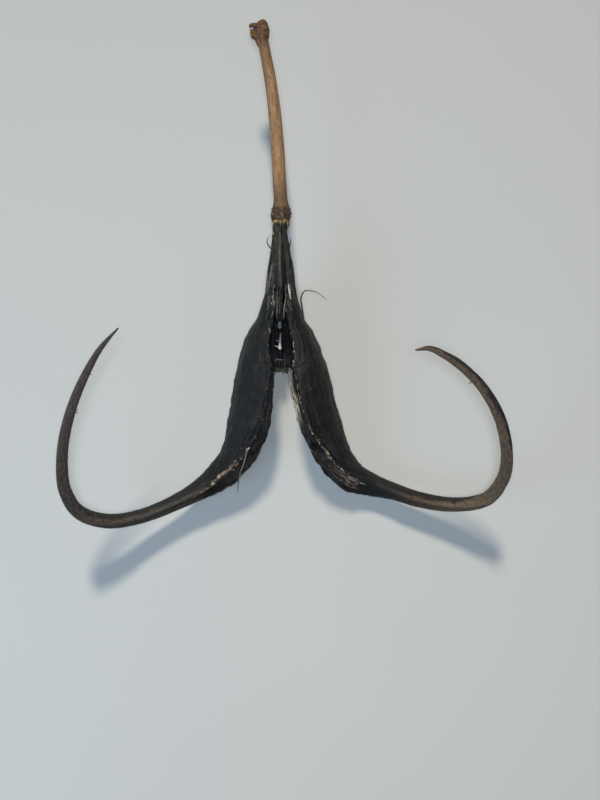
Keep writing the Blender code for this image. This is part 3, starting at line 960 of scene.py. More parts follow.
def roughen_half(half, seed):
    """Adds the wrinkles, folds and lumps of the husk, and the grain that the colours follow."""
    around, to_crest, to_lip = rim_distances(half.grid)
    at = half.at
    flow = flow_round(around, at)
    body = half.body
    outside = 1 - half.inside
    sway = 0.9 * noise(flow / 9.0, at / 8.0, 5.0, seed)
    patches = 0.6 + 0.5 * noise(flow / 4.0, at / 7.0, 9.0, seed + 6)
    wrinkles = 0.085 * patches * ridged(flow / 1.7 + sway, at / 12.0, 1.0, seed + 4)
    creases = 0.06 * patches * ridged(flow / 0.9 + sway, at / 6.0, 1.5, seed + 5)
    lumps = 0.13 * layered(flow / 6.0, at / 12.0, 0.0, seed)
    fine = 0.035 * layered(flow / 0.45, at / 2.6, 2.0, seed + 7)
    dents = 0.34 * layered(flow / 3.0, at / 2.4, 3.0, seed + 8, 4)
    folds = ridged(flow / 1.25 + sway, at / 15.0, 4.0, seed + 9)
    knots = 0.13 * layered(flow / 1.1, at / 1.5, 8.0, seed + 10)
    horn_bumps = 0.05 * layered(flow / 2.4, at / 1.3, 7.0, seed + 11)
    lining = 0.26 * layered(flow / 1.3, at / 2.0, 6.0, seed + 12)
    torn_lip = 0.16 * layered(flow / 0.9, at / 0.9, 9.0, seed + 14)
    relief = lumps * body + (wrinkles + creases) * (0.3 + 0.7 * body) + dents * (0.15 + 0.85 * body) + fine
    relief = outside * (relief + (0.17 * folds + knots) * near(to_crest, 3.6) * body)
    relief += horn_bumps * between(at, *HORN_BUMPS_RANGE)
    relief += half.inside * half.hollow * lining + near(to_lip, 1.6) * body * torn_lip
    relief *= eased(to_crest, 0.0, 0.9) * 0.85 + 0.15
    half.grid = half.grid + grid_normals(half.grid) * half.sign * relief[..., None]
    half.grid[..., 2] = np.maximum(half.grid[..., 2], 0.0)
    half.normals = grid_normals(half.grid) * half.sign
    half.grain = np.stack([flow, at, np.full_like(at, 10.0 * seed)], axis=-1)
    half.to_crest = to_crest
    half.to_lip = to_lip
    # Where the painted highlight lies: on the ridges of the folds near the crest.
    half.fold = outside * body * near(to_crest, 5.0) * eased(folds, 0.1, 0.9)


def half_attributes(half, side):
    """What the husk's material reads at each point."""
    at = half.at
    flow = half.grain[..., 0]
    direction, amount, share = (looked_up(side.pale, at, k) for k in (1, 2, 3))
    facing = np.cos(np.radians(half.direction - direction))
    facing = facing + 0.5 * layered(at / 1.7, flow / 1.5, 0.0, 77, 4)
    low, high = side.straw
    blotch = noise(at / 1.6, flow / 1.2, 0.0, 78) + 0.5 * noise(at / 0.5, 4.0, 0.0, 79)
    torn = half.comb * eased(blotch, -0.3, 0.5)
    return {
        "grain": half.grain,
        "inside": half.inside * eased(half.hollow + 0 * at, 0.15, 0.5),
        "crest": near(half.to_crest, 0.35) * torn,
        "lip": near(half.to_lip, 1.1) * torn,
        "straw": (1 - eased(half.to_lip, 1.0, 1.5)) * between(at, low, low + 2, high - 5, high),
        "fold": half.fold,
        "horn": eased(at, *HORN_COLOUR_RANGE),
        # Tan skin, and painted light on the shaded lower side of the horns' runs.
        "pale": amount * eased(facing, 0.7 - 1.6 * share, 1.2 - 1.6 * share),
        "tan": np.full_like(at, side.tan),
    }


def make_half(side_sign, material):
    side = SIDES[side_sign]
    half = half_grid(side_sign, side)
    roughen_half(half, side.seed)
    obj = grid_object(side.name, half.grid, half_attributes(half, side), material, half.sign < 0)
    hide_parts("pod")
    return half


def on_half(half, length, place):
    """The point and the normal of a half's skin at a length along it and a place round its ring."""
    rows, count = half.grid.shape[:2]
    row = min(max(length / half.at[1, 0], 0.0), rows - 1.001)
    place = place % count
    i, j = int(row), int(place)
    a, b = row - i, place - j
    k = (j + 1) % count
    found = []
    for field in (half.grid, half.normals):
        low = field[i, j] * (1 - b) + field[i, k] * b
        high = field[i + 1, j] * (1 - b) + field[i + 1, k] * b
        found.append(low * (1 - a) + high * a)
    return found


def neck_grid():
    """The ribbed neck, whose top splits open into a slit between the two halves."""
    stations = stations_down(NECK, NECK_STATIONS)
    y, z, half_width, half_height = (stations[:, k][:, None] for k in range(4))
    angle = full_turn(NECK_SIDES)
    sway = 0.35 * noise(0.0, y / 9.0, 0.0, 21)
    ring_x, ring_z = np.cos(angle), np.sin(angle)
    lower = eased(-y, -44.0, -30.0)
    ribs = RIB_DEPTH * (2 * abs(np.cos(NECK_RIBS / 2 * (angle + 0.25 * sway))) - 1)
    strands = (0.07 + 0.08 * lower) * ridged(ring_x * 2.3 + sway, ring_z * 2.3, y / 13.0, 22)
    threads = 0.04 * ridged(ring_x * 5.5 + sway, ring_z * 5.5, y / 8.0, 23)
    pits = 0.07 * lower * layered(ring_x * 4.0, ring_z * 4.0, y / 2.4, 24)
    swell = 1 + ribs + strands + threads + pits
    grid = np.stack([half_width * swell * ring_x, y + 0 * angle, z + half_height * swell * ring_z], axis=-1)
    waver = 0.25 * layered(y / 1.8, 0 * ring_z, 0.0, 25)
    slit = (1 - eased(y, SLIT_OPEN, SLIT_START)) * (1 - eased(abs(grid[..., 0]) + waver, *SLIT_EDGE))
    slit *= ring_z > 0
    grid[..., 2] += slit * np.minimum(SLIT_FLOOR - grid[..., 2], 0.0)
    # Painted shade: black in the hollows between ribs and strands, in the slit and on the neck's end inside
    # the chamber.
    groove = np.maximum(eased(-(ribs + strands + threads), 0.0, 0.12), eased(slit, 0.1, 0.5))
    groove = np.maximum(groove, 1 - eased(y, 24.0, 26.5))
    grain = np.stack([angle * 3.2 + 0 * y, -y + 0 * angle, 5.0 + 0 * groove], axis=-1)
    return grid, {"grain": grain, "groove": groove, "edge": np.zeros_like(groove)}


def floor_grid():
    """The unsplit floor between the halves, thin and torn at its lower end."""
    stations = stations_down(FLOOR, FLOOR_STATIONS)
    across = np.linspace(-1.0, 1.0, FLOOR_POINTS)
    ring = np.concatenate([across, across[::-1]])[None, :]
    upper = np.concatenate([np.zeros(FLOOR_POINTS), np.ones(FLOOR_POINTS)])[None, :]
    y, underside, half_width = (stations[:, k][:, None] for k in range(3))
    end = eased(np.linspace(0, 1, FLOOR_STATIONS), 0.88, 1.0)[:, None]
    jag = 0.9 * layered(ring * 5.0, 0.0, 0.0, 31) * end
    x = half_width * ring
    lumps = 0.18 * layered(x / 1.6, y / 2.6, upper, 32)
    thickness = FLOOR_THICKNESS * (1 - 0.75 * end)
    z = np.maximum(underside + FLOOR_LIFT * ring**2 + upper * thickness + lumps * upper, 0.02)
    grid = np.stack([x, y + jag, z], axis=-1)
    grain = np.stack([x + 5 * upper, -y + 0 * x, 9.0 + 0 * x], axis=-1)
    edge = end**2 * upper + 0 * x
    # The whole floor is a third of the way to the black of the painted groove shade.
    return grid, {"grain": grain, "groove": 0 * x + 0.35, "edge": edge}


class Bundle:
    """Many small pieces that become one mesh."""

    def __init__(self):
        self.points = []
        self.faces = []
        self.grain = []
        self.tone = []
        self.made = 0

    def add(self, points, faces, grain, tone):
        first = len(self.points)
        self.points += [list(point) for point in points]
        self.faces += [[first + k for k in face] for face in faces]
        self.grain += grain
        self.tone += [tone] * len(points) if isinstance(tone, float) else list(tone)
        self.made += 1

    def tube(self, route, radii, tone, sides=6, flat=1.0):
        """A tapered strand along a route; flat under 1 makes it a ribbon."""
        route = np.asarray(route, float)
        radii = np.broadcast_to(np.asarray(radii, float), len(route))
        along = unit(np.gradient(route, axis=0))
        up = unit(np.cross(along, np.cross(np.array([0.0, 0.0, 1.0]), along)) + 1e-6)
        sideways = np.cross(along, up)
        length = lengths_along(route)
        points = []
        grain = []
        for i, (middle, radius) in enumerate(zip(route, radii)):
            for k in range(sides):
                angle = 2 * math.pi * k / sides
                out = sideways[i] * math.cos(angle) + up[i] * math.sin(angle) * flat
                points.append(middle + radius * out)
                grain.append([k * radius, length[i], float(self.made)])
        faces = grid_faces(len(route), sides)
        points += [route[0], route[-1]]
        grain += [grain[0], grain[-1]]
        tones = np.repeat(np.broadcast_to(np.asarray(tone, float), len(route)), sides).tolist()
        self.add(points, faces, grain, tones + [tones[0], tones[-1]])

    def flake(self, centre, along, across, lift, tone):
        """A thin pointed shard; along, across and lift go from its centre to its ends, sides and faces."""
        centre, along, across, lift = (np.asarray(value, float) for value in (centre, along, across, lift))
        points = [centre + along, centre + across, centre - along * 0.8, centre - across]
        points += [centre + lift, centre - lift]
        faces = [[0, 1, 4], [1, 2, 4], [2, 3, 4], [3, 0, 4], [1, 0, 5], [2, 1, 5], [3, 2, 5], [0, 3, 5]]
        self.add(points, faces, (np.array(points) + self.made).tolist(), float(tone))

    def chip(self, draw, centre, size, tone):
        """A flake turned at random."""
        turn = unit(np.array([draw.gauss(0, 1) for _ in range(3)]))
        other = unit(np.cross(turn, [draw.gauss(0, 1) for _ in range(3)]))
        length = size * draw.uniform(0.6, 1.4)
        self.flake(centre, turn * length, other * length * 0.45, np.cross(turn, other) * size * 0.16, tone)

    def ribbon(self, base, up, across, height, thickness, tone):
        """A torn strip standing on its base line; every argument has a row or value a station."""
        width = across * thickness[:, None]
        rise = up * height[:, None]
        rings = [
            base - up * 0.25 - width,
            base + rise * 0.5 - width * 0.7,
            base + rise + width * 0.32,
            base + rise * 0.5 + width * 0.7,
            base - up * 0.25 + width,
        ]
        rings = np.stack(rings, axis=1)
        tones = (tone[:, None] * np.array([0.5, 0.85, 1.0, 0.85, 0.5])).ravel().tolist()
        grain = [[k * 0.2, length, float(self.made)] for length in lengths_along(base) for k in range(5)]
        faces = grid_faces(len(base), 5)
        self.add(with_hubs(rings), faces, grain + [grain[0], grain[-1]], tones + [tones[0], tones[-1]])

    def add_grid(self, grid, grain, tone, turned=False):
        """A closed grid of rings."""
        self.add(with_hubs(grid), grid_faces(*grid.shape[:2], turned), with_hubs(grain).tolist(), tone)

    def build(self, name, material):
        attributes = {"grain": np.array(self.grain), "tone": np.array(self.tone)}
        points = np.array(self.points)
        points[:, 2] = np.maximum(points[:, 2], 0.0)
        build_mesh(name, points, self.faces, attributes, material)


def make_neck_strands(tree, material):
    """The dry strands, splinters and strips on the neck."""
    bundle = Bundle()
    add_strands(bundle, tree)
    add_splinters(bundle, tree)
    add_strips(bundle, tree)
    bundle.build("neck_strands", material)


def add_strands(bundle, tree):
    """Strands that lie along the neck and run out onto the shoulders of the two halves."""
    draw = random.Random(STRAND_SEED)
    for i in range(NECK_STRANDS):
        angle = 2 * math.pi * (i + draw.uniform(-0.4, 0.4)) / NECK_STRANDS
        start = draw.uniform(36.0, 49.5)
        end = max(start - draw.uniform(8.0, 24.0), 17.0)
        count = int((start - end) / 0.5) + 3
        route = []
        for y in np.linspace(start, end, count):
            sway = angle + 0.12 * float(noise(y / 4.0, i * 3.3, 0.0, 41))
            z, half_width, half_height = (looked_up(NECK, max(y, NECK_FOOT), k) for k in (1, 2, 3))
            reach = 1.15 + max(NECK_FOOT - y, 0.0) * 0.16
            x = half_width * reach * math.cos(sway)
            found = tree.find_nearest(Vector((x, y, z + half_height * reach * math.sin(sway))))
            route.append(np.array(found[0]) + np.array(found[1]) * 0.02)
        thick = draw.uniform(0.1, 0.24)
        bundle.tube(route, thick * taper(count, 0.6), draw.choice(STRAND_TONES), flat=0.7)


def add_splinters(bundle, tree):
    """Short splinters on the top of the neck's lower end, at both sides of its slit."""
    draw = random.Random(SPLINTER_SEED)
    for i in range(SPLINTERS):
        side = draw.choice([LEFT, RIGHT])
        x = side * draw.uniform(1.2, 3.4)
        y = draw.uniform(19.0, 34.0)
        reach = draw.uniform(1.0, 4.0)
        places = [(x + side * 0.3 * math.sin(3 * t + i), y - reach * t) for t in np.linspace(0, 1, 12)]
        tone = draw.choice(SPLINTER_TONES)
        laid_strand(bundle, tree, places, draw.uniform(0.07, 0.2), tone, i)


def add_strips(bundle, tree):
    """The strips that lie on the neck and bridge its slit."""
    t = np.linspace(0, 1, STRIP_STATIONS)
    swell = 0.4 + 0.6 * np.sin(np.linspace(0.1, 3.04, STRIP_STATIONS))
    for i, (x0, y0, x1, y1, radius, tone) in enumerate(NECK_STRIPS):
        x = x0 + (x1 - x0) * t + 0.12 * noise(t * 4, i, 0.0, 75)
        y = y0 + (y1 - y0) * t
        tops = [top_at(tree, *place) for place in zip(x, y)]
        z = np.array([top[2] if top else STRIP_BRIDGE for top in tops])
        bridge = STRIP_BRIDGE + 0.06 * (y - SLIT_OPEN)
        z = np.where(y < SLIT_START, np.maximum(z, bridge), z) + radius * 0.1
        z = np.convolve(np.pad(z, 2, mode="edge"), np.ones(5) / 5, mode="valid")
        radii = radius * swell * (1 + 0.25 * noise(t * 9, i, 1.0, 76))
        tones = tone + 0.12 * noise(t * 8, i, 2.0, 77)
        bundle.tube(np.stack([x, y, z], axis=1), radii, tones, flat=0.55)


def add_comb(bundle, half, column):
    """The torn strip of dry skin that stands on a half's crest."""
    lengths = np.arange(CREST_START, CREST_END, CREST_STEP)
    rows = np.clip((lengths / half.at[1, 0]).astype(int), 0, len(half.at) - 1)
    base = np.array([on_half(half, length, CREST_INDEX)[0] for length in lengths])
    up = unit(half.up[rows] - 0.25 * half.out[rows])
    across = half.out[rows]
    ends = between(lengths, CREST_START, CREST_START + 3, CREST_END - 6, CREST_END)
    spikes = 0.4 + 0.5 * noise(lengths / 1.1, column, 0.0, 61)
    spikes += 0.55 * noise(lengths / 0.45, column, 5.0, 62)
    height = CREST_HEIGHT * np.clip(spikes, 0.08, 1.15) * ends
    thickness = 0.13 + 0.09 * noise(lengths / 0.6, column, 9.0, 63)
    wander = 0.16 * noise(lengths / 0.9, column, 2.0, 66) + 0.12 * noise(lengths / 0.4, column, 4.0, 67)
    base = base + across * (wander * ends)[:, None]
    patches = noise(lengths / 1.6, column, 0.0, 64) + 0.9 * noise(lengths / 0.5, column, 3.0, 65)
    tone = 0.05 + looked_up(CREST_PALENESS, lengths, 1 + column) * eased(patches, 0.05, 0.75)
    bundle.ribbon(base, up, across, height, thickness, tone)


def add_flakes(bundle, half, column, draw):
    """Flakes caught along a half's crest and its lower lip."""
    for _ in range(CREST_FLAKES):
        length = draw.uniform(CREST_START + 2, CREST_END - 6)
        spot, normal = on_half(half, length, CREST_INDEX + draw.gauss(0.0, 3.0))
        pale = 0.6 + 0.8 * float(noise(length / 1.8, column, 0.0, 64))
        pale *= float(looked_up(CREST_PALENESS, length, 1 + column))
        tone = min(max(pale + draw.uniform(-0.35, 0.3), 0.0), 1.0)
        bundle.chip(draw, spot + normal * draw.uniform(0.05, 0.3), draw.uniform(0.12, 0.42), tone)
    for _ in range(LIP_FLAKES):
        length = draw.uniform(*LIP_FLAKES_RANGE)
        spot, normal = on_half(half, length, LIP_INDEX + draw.gauss(-1.0, 3.0))
        bundle.chip(draw, spot + normal * 0.08, draw.uniform(0.1, 0.36), draw.uniform(0.0, 0.5))


def make_crests(halves, material):
    """The torn, dry edges of the two halves."""
    draw = random.Random(CREST_SEED)
    bundle = Bundle()
    for column, half in enumerate(halves.values()):
        add_comb(bundle, half, column)
        add_flakes(bundle, half, column, draw)
    bundle.build("crest_edges", material)


def taper(count, power, blunt=0.15):
    """Thicknesses of a strand that narrows to both ends; blunt is how far short of a point it stops."""
    return np.sin(np.linspace(blunt, math.pi - blunt, count)) ** power


def drape(tree, places, lift):
    """The longest run of a route's places laid on what is straight below them."""
    runs = [[]]
    for x, y in places:
        top = top_at(tree, x, y)
        spot = np.array(top) + [0, 0, lift] if top else None
        if runs[-1] and (spot is None or abs(spot[2] - runs[-1][-1][2]) > DRAPE_STEP):
            runs.append([])
        if spot is not None:
            runs[-1].append(spot)
    return max(runs, key=len)


def laid_strand(bundle, tree, places, radius, tone, seed, flat=0.5):
    """A dry strip laid from above along a route of (x, y) places."""
    route = drape(tree, places, radius * 0.35)
    if len(route) < 5:
        return
    share = np.linspace(0, 1, len(route))
    length = lengths_along(route)[-1]
    route = np.array(route)
    route[1:-1, 2] = (route[:-2, 2] + 2 * route[1:-1, 2] + route[2:, 2]) / 4
    wobble = 1 + 0.4 * noise(share * length / 0.9, seed, 4.0, 72)
    tones = tone + 0.2 * noise(share * length / 0.8, seed, 8.0, 73)
    bundle.tube(route, radius * taper(len(route), 0.5) * wobble, tones, flat=flat)


def opening_route(half, start, end, low, high, seed):
    """Places between the crest (0) and the lower lip (1) of a half, from one length along it to another."""
    count = max(int(abs(end - start) / 0.3), 6)
    share = np.linspace(0, 1, count)
    across = low + (high - low) * share + 0.06 * noise(share * (end - start) / 1.6, seed, 0.0, 74)
    places = []
    for length, part in zip(start + (end - start) * share, across):
        crest, lip = (on_half(half, length, index)[0][:2] for index in (CREST_INDEX, LIP_INDEX))
        places.append(crest + (lip - crest) * part)
    return places


def add_nets(bundle, halves, tree, draw):
    """Nets of fine fibres in the openings of the halves."""
    for group, (side, first, last, low, high, count, mean_tone) in enumerate(NET_FIBRES):
        for i in range(count):
            seed = 20 * group + i
            start = draw.uniform(first, last - 2)
            end = min(start + draw.uniform(1.5, 8.0), last)
            part = draw.uniform(low, high)
            drift = draw.uniform(-0.2, 0.2)
            places = opening_route(halves[side], start, end, part, part + drift, seed)
            tone = mean_tone + draw.uniform(-0.2, 0.2)
            laid_strand(bundle, tree, places, draw.uniform(0.07, 0.24), tone, seed)


def add_straw(bundle, halves, tree, draw):
    """Pale straw along the lower lip of the right half."""
    low, high = RIGHT_STRAW
    for seed in range(STRAW_SEED, STRAW_SEED + STRAW_FIBRES):
        start = draw.uniform(low, high - 5)
        end = start + draw.uniform(3.0, 9.0)
        places = opening_route(halves[RIGHT], start, end, draw.uniform(0.8, 1.0), 0.92, seed)
        laid_strand(bundle, tree, places, draw.uniform(0.12, 0.26), draw.uniform(0.85, 1.1), seed)


def make_groove_fibres(halves, tree, material):
    """The brown strips and nets of fibre on the edges and in the openings of the halves."""
    draw = random.Random(GROOVE_SEED)
    bundle = Bundle()
    for i, (side, start, end, low, high, radius, tone) in enumerate(GROOVE_STRIPS):
        places = opening_route(halves[side], start, end, low, high, i)
        laid_strand(bundle, tree, places, radius, tone, i, 0.6)
    add_nets(bundle, halves, tree, draw)
    add_straw(bundle, halves, tree, draw)
    for x, y, size in SPECKS:
        spot = drape(tree, [(x, y)], size * 0.4)
        if spot:
            bundle.chip(draw, spot[0], size, 1.0)
            bundle.chip(draw, spot[0] + [size * 0.6, 0.1, 0], size * 0.6, 0.8)
    bundle.build("groove_fibres", material)


def make_septum(material):
    """The thin dark wall that stands between the halves, with the shining strips of its torn top edge,
    which carry a painted highlight.
    """
    y = np.linspace(SEPTUM[0][0], SEPTUM[-1][0], SEPTUM_STATIONS)[:, None]
    top, half_width = (looked_up(SEPTUM, y, k) for k in (1, 2))
    foot = looked_up(FLOOR, y, 1) + 1.0
    middle = -0.1 + 0.25 * noise(y / 3.0, 0.0, 0.0, 81)
    share = np.array([0.0, 0.5, 0.85, 0.97, 1.0, 0.97, 0.85, 0.5, 0.0])[None, :]
    side = np.array([-1.6, -0.9, -0.95, -0.8, 0.0, 0.8, 0.95, 0.9, 1.6])[None, :]
    waver = 0.12 * noise(y / 0.8, side, share * 3.0, 82)
    grid = np.stack([middle + side * half_width + waver, y + 0 * side, foot + (top - foot) * share], axis=-1)
    grain = np.stack([side + 0 * y, y + 0 * side, share * 3 + 0 * y], axis=-1)
    bundle = Bundle()
    bundle.add_grid(grid, grain, 0.0)
    for route, first, last in SEPTUM_STRIPS:
        # Tone 1 gives each strip the painted highlight colour.
        strip = shining_strip(route, first, last)
        bundle.add_grid(strip, strip * [1.0, 1.0, 0.0], 1.0, turned=True)
    bundle.build("septum", material)


def shining_strip(route, first, last):
    """A thin strip that leans towards the top of the picture, where the light comes from."""
    t = np.linspace(0, 1, SHINE_STATIONS)
    middle = smooth_through(route, t, np.linspace(0, 1, len(route)))
    along = unit(np.gradient(middle, axis=0))
    facing = np.array([0.0, math.sin(SHINE_TILT), math.cos(SHINE_TILT)])
    facing = unit(facing - along * (along @ facing)[:, None])
    across = np.cross(along, facing)
    width = (first + (last - first) * t) * (1 + 0.25 * noise(t * 5, first * 9, 0.0, 83))
    width *= eased(t, -0.02, 0.08) * (1 - eased(t, 0.94, 1.02))
    share = np.concatenate([np.linspace(-1, 1, 9), np.linspace(0.9, -0.9, 7)])[None, :, None]
    upper = np.concatenate([np.ones(9), np.zeros(7)])[None, :, None]
    flat = middle[:, None] + across[:, None] * share * width[:, None, None]
    return flat + facing[:, None] * (upper * 0.16 - 0.05 * share**2 - 0.1)


def make_hairs(halves, material):
    """Curled hairs at the neck and shoulders, and the short barbs on the horns."""
    draw = random.Random(HAIR_SEED)
    bundle = Bundle()
    for route, radius, tone, tip_tone in HAIRS:
        t = np.linspace(0, 1, 8 * len(route))
        lengths = lengths_along(route)
        smooth = smooth_through(route, t, lengths / lengths[-1])
        bundle.tube(smooth, radius * (1 - 0.75 * t**1.4), tone + (tip_tone - tone) * t**2, sides=8)
        bundle.chip(draw, smooth[0], radius * 2.0, tone)
    for side, length, size in HORN_BARBS:
        spot, normal = on_half(halves[side], length, OUTER_POINTS // 2)
        lean = np.array([draw.uniform(-0.3, 0.3), draw.uniform(-0.4, 0.4), 0.3])
        route = [spot - normal * 0.2, spot + normal * size * 0.5, spot + (normal + lean) * size]
        bundle.tube(route, [0.16, 0.1, 0.04], 0.3)
        bundle.chip(draw, spot, 0.35, 0.25)
    bundle.build("hairs", material)


def make_crotch_fringe(material):
    """The torn greenish edge where the chamber floor ends, and crumbs on the floor."""
    draw = random.Random(FRINGE_SEED)
    bundle = Bundle()
    y, underside, half_width = FLOOR[-1]
    for _ in range(FRINGE_FIBRES):
        x = draw.uniform(-0.62, 0.62) * half_width
        root = np.array([x, y + draw.uniform(0.0, 0.9), underside + draw.uniform(0.3, 0.9)])
        tip = root + np.array([draw.uniform(-0.7, 0.7), -draw.uniform(0.2, 1.1), draw.uniform(-0.25, 0.3)])
        tip[2] = max(tip[2], 0.12)
        bundle.tube([root, (root + tip) / 2 + [0, 0, 0.1], tip], [0.15, 0.12, 0.04], draw.uniform(0.35, 0.9))
    for _ in range(FLOOR_CRUMBS):
        x = draw.uniform(-2.0, 2.2)
        y = draw.uniform(CRUMB_BED[0][0], CRUMB_BED[-1][0])
        spot = (x, y, looked_up(CRUMB_BED, y, 1))
        bundle.chip(draw, spot, draw.uniform(0.08, 0.3), draw.uniform(0.1, 0.55))
    bundle.build("crotch_fringe", material)


def about_axis(angle):
    """The directions out from the stalk's axis and round it."""
    out = np.array([math.cos(angle), 0.0, math.sin(angle)])
    around = np.array([-math.sin(angle), 0.0, math.cos(angle)])
    return out, around


def add_crumbs(bundle, axis, draw):
    """The crumbling bark that stands round the collar."""
    for y, radius, count in COLLAR_RINGS:
        for i in range(count):
            out, around = about_axis(2 * math.pi * (i + draw.uniform(-0.4, 0.4)) / count)
            spot = axis + [0.0, y + draw.uniform(-0.35, 0.35), 0.0]
            spot += out * (radius + draw.uniform(-0.12, 0.26))
            along = unit([0.0, -1.0, 0.0] + out * draw.uniform(-0.2, 0.5) + around * draw.gauss(0, 0.5))
            size = draw.uniform(0.25, 0.7)
            tone = draw.choice(CRUMB_TONES)
            bundle.flake(spot, along * size, np.cross(along, out) * size * 0.55, out * size * 0.4, tone)


def add_teeth(bundle, axis, draw):
    """The golden pointed teeth that hang from the collar over the neck."""
    for i in range(COLLAR_TEETH):
        out, around = about_axis(2 * math.pi * (i + draw.uniform(-0.25, 0.25)) / COLLAR_TEETH)
        tip = TOOTH_TIP + draw.uniform(0.0, 1.5)
        tip_out = TIP_OUT + draw.uniform(0, 0.12)
        along = np.array([0.0, tip - TOOTH_ROOT, 0.0]) / 2 + out * (tip_out - ROOT_OUT) / 2
        spot = axis + [0.0, (TOOTH_ROOT + tip) / 2, 0.0] + out * (ROOT_OUT + tip_out) / 2
        across = around * draw.uniform(0.4, 0.68)
        bundle.flake(spot, along * 1.1, across, out * 0.15, draw.uniform(0.58, 0.95))
        bundle.flake(spot + [0, 0.8, 0], along * 0.42, around * 0.32, out * 0.26, draw.uniform(0.05, 0.7))


def make_collar(material):
    """The crumbling ring at the foot of the stalk, with pale pointed teeth over the neck."""
    draw = random.Random(COLLAR_SEED)
    bundle = Bundle()
    axis = np.array([STALK[1][0], 0.0, STALK[1][2]])
    add_crumbs(bundle, axis, draw)
    add_teeth(bundle, axis, draw)
    for centre, along, tone in SCRAPS:
        bundle.flake(centre, along, (0.35, 0.0, 0.2), (0.1, 0.0, 0.2), tone)
    bundle.build("collar", material)


def mesh_from_grid(name, grid):
    mesh = bpy.data.meshes.new(name)
    mesh.from_pydata(with_hubs(grid).tolist(), [], grid_faces(*grid.shape[:2], turned=True))
    return place_object(name, mesh)


def ellipsoid(name, centre, radii):
    angle = np.linspace(0.05, math.pi - 0.05, LOBE_RINGS)[:, None]
    turn = full_turn(LOBE_SIDES)
    ring = [np.cos(angle) + 0 * turn, np.sin(angle) * np.cos(turn), np.sin(angle) * np.sin(turn)]
    return mesh_from_grid(name, np.array(centre) + np.stack(ring, axis=-1) * np.array(radii))


def apply_modifiers(obj):
    bpy.context.view_layer.update()
    evaluated = obj.evaluated_get(bpy.context.evaluated_depsgraph_get())
    mesh = bpy.data.meshes.new_from_object(evaluated)
    obj.modifiers.clear()
    obj.data = mesh


def stalk_grid():
    where, stations = even_stations(STALK, STALK_STEP)
    along, up = directions(stations[:, :3], where)
    side = np.cross(along, up)
    angle = full_turn(STALK_SIDES)[..., None]
    ring = side[:, None] * np.cos(angle) + up[:, None] * np.sin(angle)
    return stations[:, None, :3] + ring * stations[:, None, 3:]


def stalk_body():
    """The stalk and the lobes of its knob as one skin of small even faces."""
    stalk = mesh_from_grid("stalk_wood", stalk_grid())
    for i, (centre, radii) in enumerate(KNOB_LOBES + [SCAR]):
        other = ellipsoid(f"lobe_{i}", centre, radii)
        modifier = stalk.modifiers.new("join", "BOOLEAN")
        modifier.operation = "DIFFERENCE" if i >= len(KNOB_LOBES) else "UNION"
        modifier.solver = "EXACT"
        modifier.object = other
        apply_modifiers(stalk)
        bpy.data.objects.remove(other, do_unlink=True)
    modifier = stalk.modifiers.new("even", "REMESH")
    modifier.mode = "VOXEL"
    modifier.voxel_size = STALK_VOXEL
    apply_modifiers(stalk)
    vertices = stalk.data.vertices
    points = np.array([vertex.co for vertex in vertices])
    normals = np.array([vertex.normal for vertex in vertices])
    faces = [list(face.vertices) for face in stalk.data.polygons]
    bpy.data.objects.remove(stalk, do_unlink=True)
    return points, normals, faces


def make_stalk(material):
    """The stalk with its lumpy collar and knob, and what its material reads at each point."""
    points, normals, faces = stalk_body()
    y = points[:, 1]
    middle_x, middle_z = (looked_up(STALK, y, column, key=1) for column in (0, 2))
    angle = np.arctan2(points[:, 2] - middle_z, points[:, 0] - middle_x)
    ring_x, ring_z = np.cos(angle), np.sin(angle)
    collar = 1 - eased(y, *COLLAR_FADE)
    knob = eased(y, *KNOB_RISE)
    wood = (1 - collar) * (1 - 0.6 * knob)
    ridges = 0.035 * ridged(ring_x * 2.6, ring_z * 2.6, y / 14.0, 51) * wood
    waves = 0.05 * layered(ring_x * 0.8, ring_z * 0.8, y / 5.0, 52)
    pits = 0.02 * layered(points[:, 0] * 2.2, y * 1.4, points[:, 2] * 2.2, 53)
    crumble = 0.34 * layered(points[:, 0] * 1.1, y * 1.1, points[:, 2] * 1.1, 54, 4) * collar
    lumps = 0.16 * layered(points[:, 0] * 0.7, y * 0.7, points[:, 2] * 0.7, 55) * knob
    points = points + normals * (ridges + waves + pits + crumble + lumps)[:, None]
    centre, radii = SCAR
    depth = np.linalg.norm((points - centre) / (np.array(radii) * 1.12), axis=1)
    spot_x, spot_y, spot_radius = PALE_SPOT
    off_spot = np.hypot(points[:, 0] - spot_x, (points[:, 1] - spot_y) * 1.3) / spot_radius
    # Darker towards the collar and towards the knob; the stalk's sides are darkened too, as painted shade.
    dark_ends_and_side_shade = 0.7 * (1 - eased(y, 55.0, 64.0)) + 0.3 * eased(y, 84.0, 96.0)
    dark_ends_and_side_shade = np.minimum(dark_ends_and_side_shade + 0.5 * ring_x**6 * (1 - knob), 0.9)
    attributes = {
        "grain": np.stack([angle * 1.9, y, np.zeros_like(y)], axis=1),
        # bark holds the collar's bark, the darker stalk ends and the painted shade down the sides.
        "bark": np.maximum(collar, dark_ends_and_side_shade),
        "knob": 0.85 * eased(y, 96.0, 101.0),
        "scar": 1 - eased(depth, 0.92, 1.05),
        "pale_spot": (1 - eased(off_spot, 0.8, 1.1)) * (points[:, 2] > 22.0),
    }
    obj = build_mesh("stalk_wood", points, faces, attributes, material)
    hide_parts("stalk")


def light(name, kind, strength, colour, **settings):
    data = bpy.data.lights.new(name, kind)
    data.energy = strength
    data.color = colour
    for key, value in settings.items():
        setattr(data, key, value)
    return place_object(name, data)


def aim(obj, direction):
    obj.rotation_euler = Vector(direction).to_track_quat("-Z", "Y").to_euler()


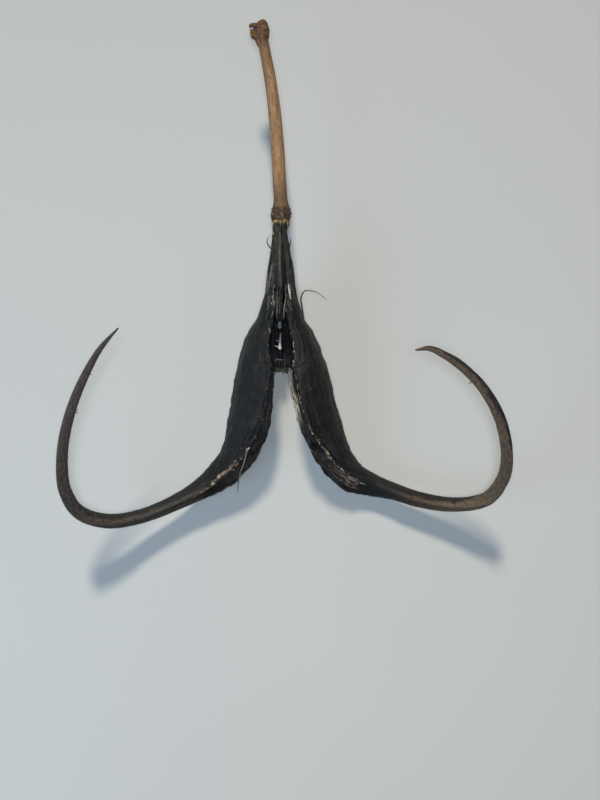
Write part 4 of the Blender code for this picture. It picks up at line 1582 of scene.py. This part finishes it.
def make_floor():
    """A plain pale table with a very fine tooth."""
    s = Shading("table")
    place = s.add("ShaderNodeTexCoord", {}).outputs["Object"]
    colour = s.ramp(s.noise(place, scale=9.0, detail=3.0), TABLE_GREY)
    relief = s.bump(s.noise(place, scale=900.0, detail=3.0), 0.02, 0.3)
    corners = np.array([(-1, -1, 0), (1, -1, 0), (1, 1, 0), (-1, 1, 0)]) * TABLE_REACH * MM
    mesh = bpy.data.meshes.new("table")
    mesh.from_pydata(corners.tolist(), [], [(0, 1, 2, 3)])
    mesh.materials.append(s.finish(Base_Color=colour, Roughness=0.75, Normal=relief))
    obj = place_object("table", mesh)


def make_light():
    sun = light("key", "SUN", SUN_STRENGTH, SUN_COLOUR, angle=math.radians(SUN_WIDTH))
    aim(sun, SUN_DIRECTION)
    ceiling = light("ceiling", "POINT", CEILING_STRENGTH, CEILING_COLOUR, shadow_soft_size=CEILING_RADIUS)
    ceiling.location = to_frame((CAMERA_X, 0.0, CEILING_HEIGHT))
    window = light("window", "AREA", WINDOW_STRENGTH, WINDOW_COLOUR, size=WINDOW_SIZE)
    window.location = WINDOW_PLACE
    aim(window, -Vector(WINDOW_PLACE))
    world = bpy.data.worlds.new("room")
    world.use_nodes = True
    background = world.node_tree.nodes["Background"]
    background.inputs["Color"].default_value = ROOM_COLOUR
    background.inputs["Strength"].default_value = ROOM_STRENGTH
    bpy.context.scene.world = world


def make_camera():
    data = bpy.data.cameras.new("camera")
    data.lens = LENS
    data.sensor_width = SENSOR
    data.clip_start = 0.01
    camera = place_object("camera", data)
    camera.location = to_frame((CAMERA_X, 0.0, CAMERA_HEIGHT))
    bpy.context.scene.camera = camera
    bpy.context.scene.view_settings.view_transform = "Standard"


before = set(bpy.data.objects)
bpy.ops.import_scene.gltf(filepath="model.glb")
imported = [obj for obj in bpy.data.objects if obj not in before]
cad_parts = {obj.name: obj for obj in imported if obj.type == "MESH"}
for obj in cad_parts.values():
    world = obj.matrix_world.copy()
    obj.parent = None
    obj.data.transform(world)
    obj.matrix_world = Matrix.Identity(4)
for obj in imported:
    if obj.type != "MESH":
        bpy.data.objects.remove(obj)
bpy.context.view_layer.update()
husk = husk_material()
halves = {side_sign: make_half(side_sign, husk) for side_sign in (LEFT, RIGHT)}
neck, neck_looks = neck_grid()
neck_fibre = neck_material()
grid_object("neck", neck, neck_looks, neck_fibre)
chamber_floor, floor_looks = floor_grid()
grid_object("chamber_floor", chamber_floor, floor_looks, neck_fibre)
husk_tree = surface_tree([halves[LEFT].grid, halves[RIGHT].grid, neck])
brown_fibre = fibre_material("brown_fibre", BROWN_FIBRE)
grey_fibre = fibre_material("grey_fibre", GREY_FIBRE)
make_neck_strands(husk_tree, grey_fibre)
make_crests(halves, brown_fibre)
make_groove_fibres(halves, husk_tree, brown_fibre)
make_crotch_fringe(brown_fibre)
make_hairs(halves, grey_fibre)
make_septum(septum_material())
make_stalk(wood_material())
make_collar(collar_material())
make_floor()
make_light()
make_camera()
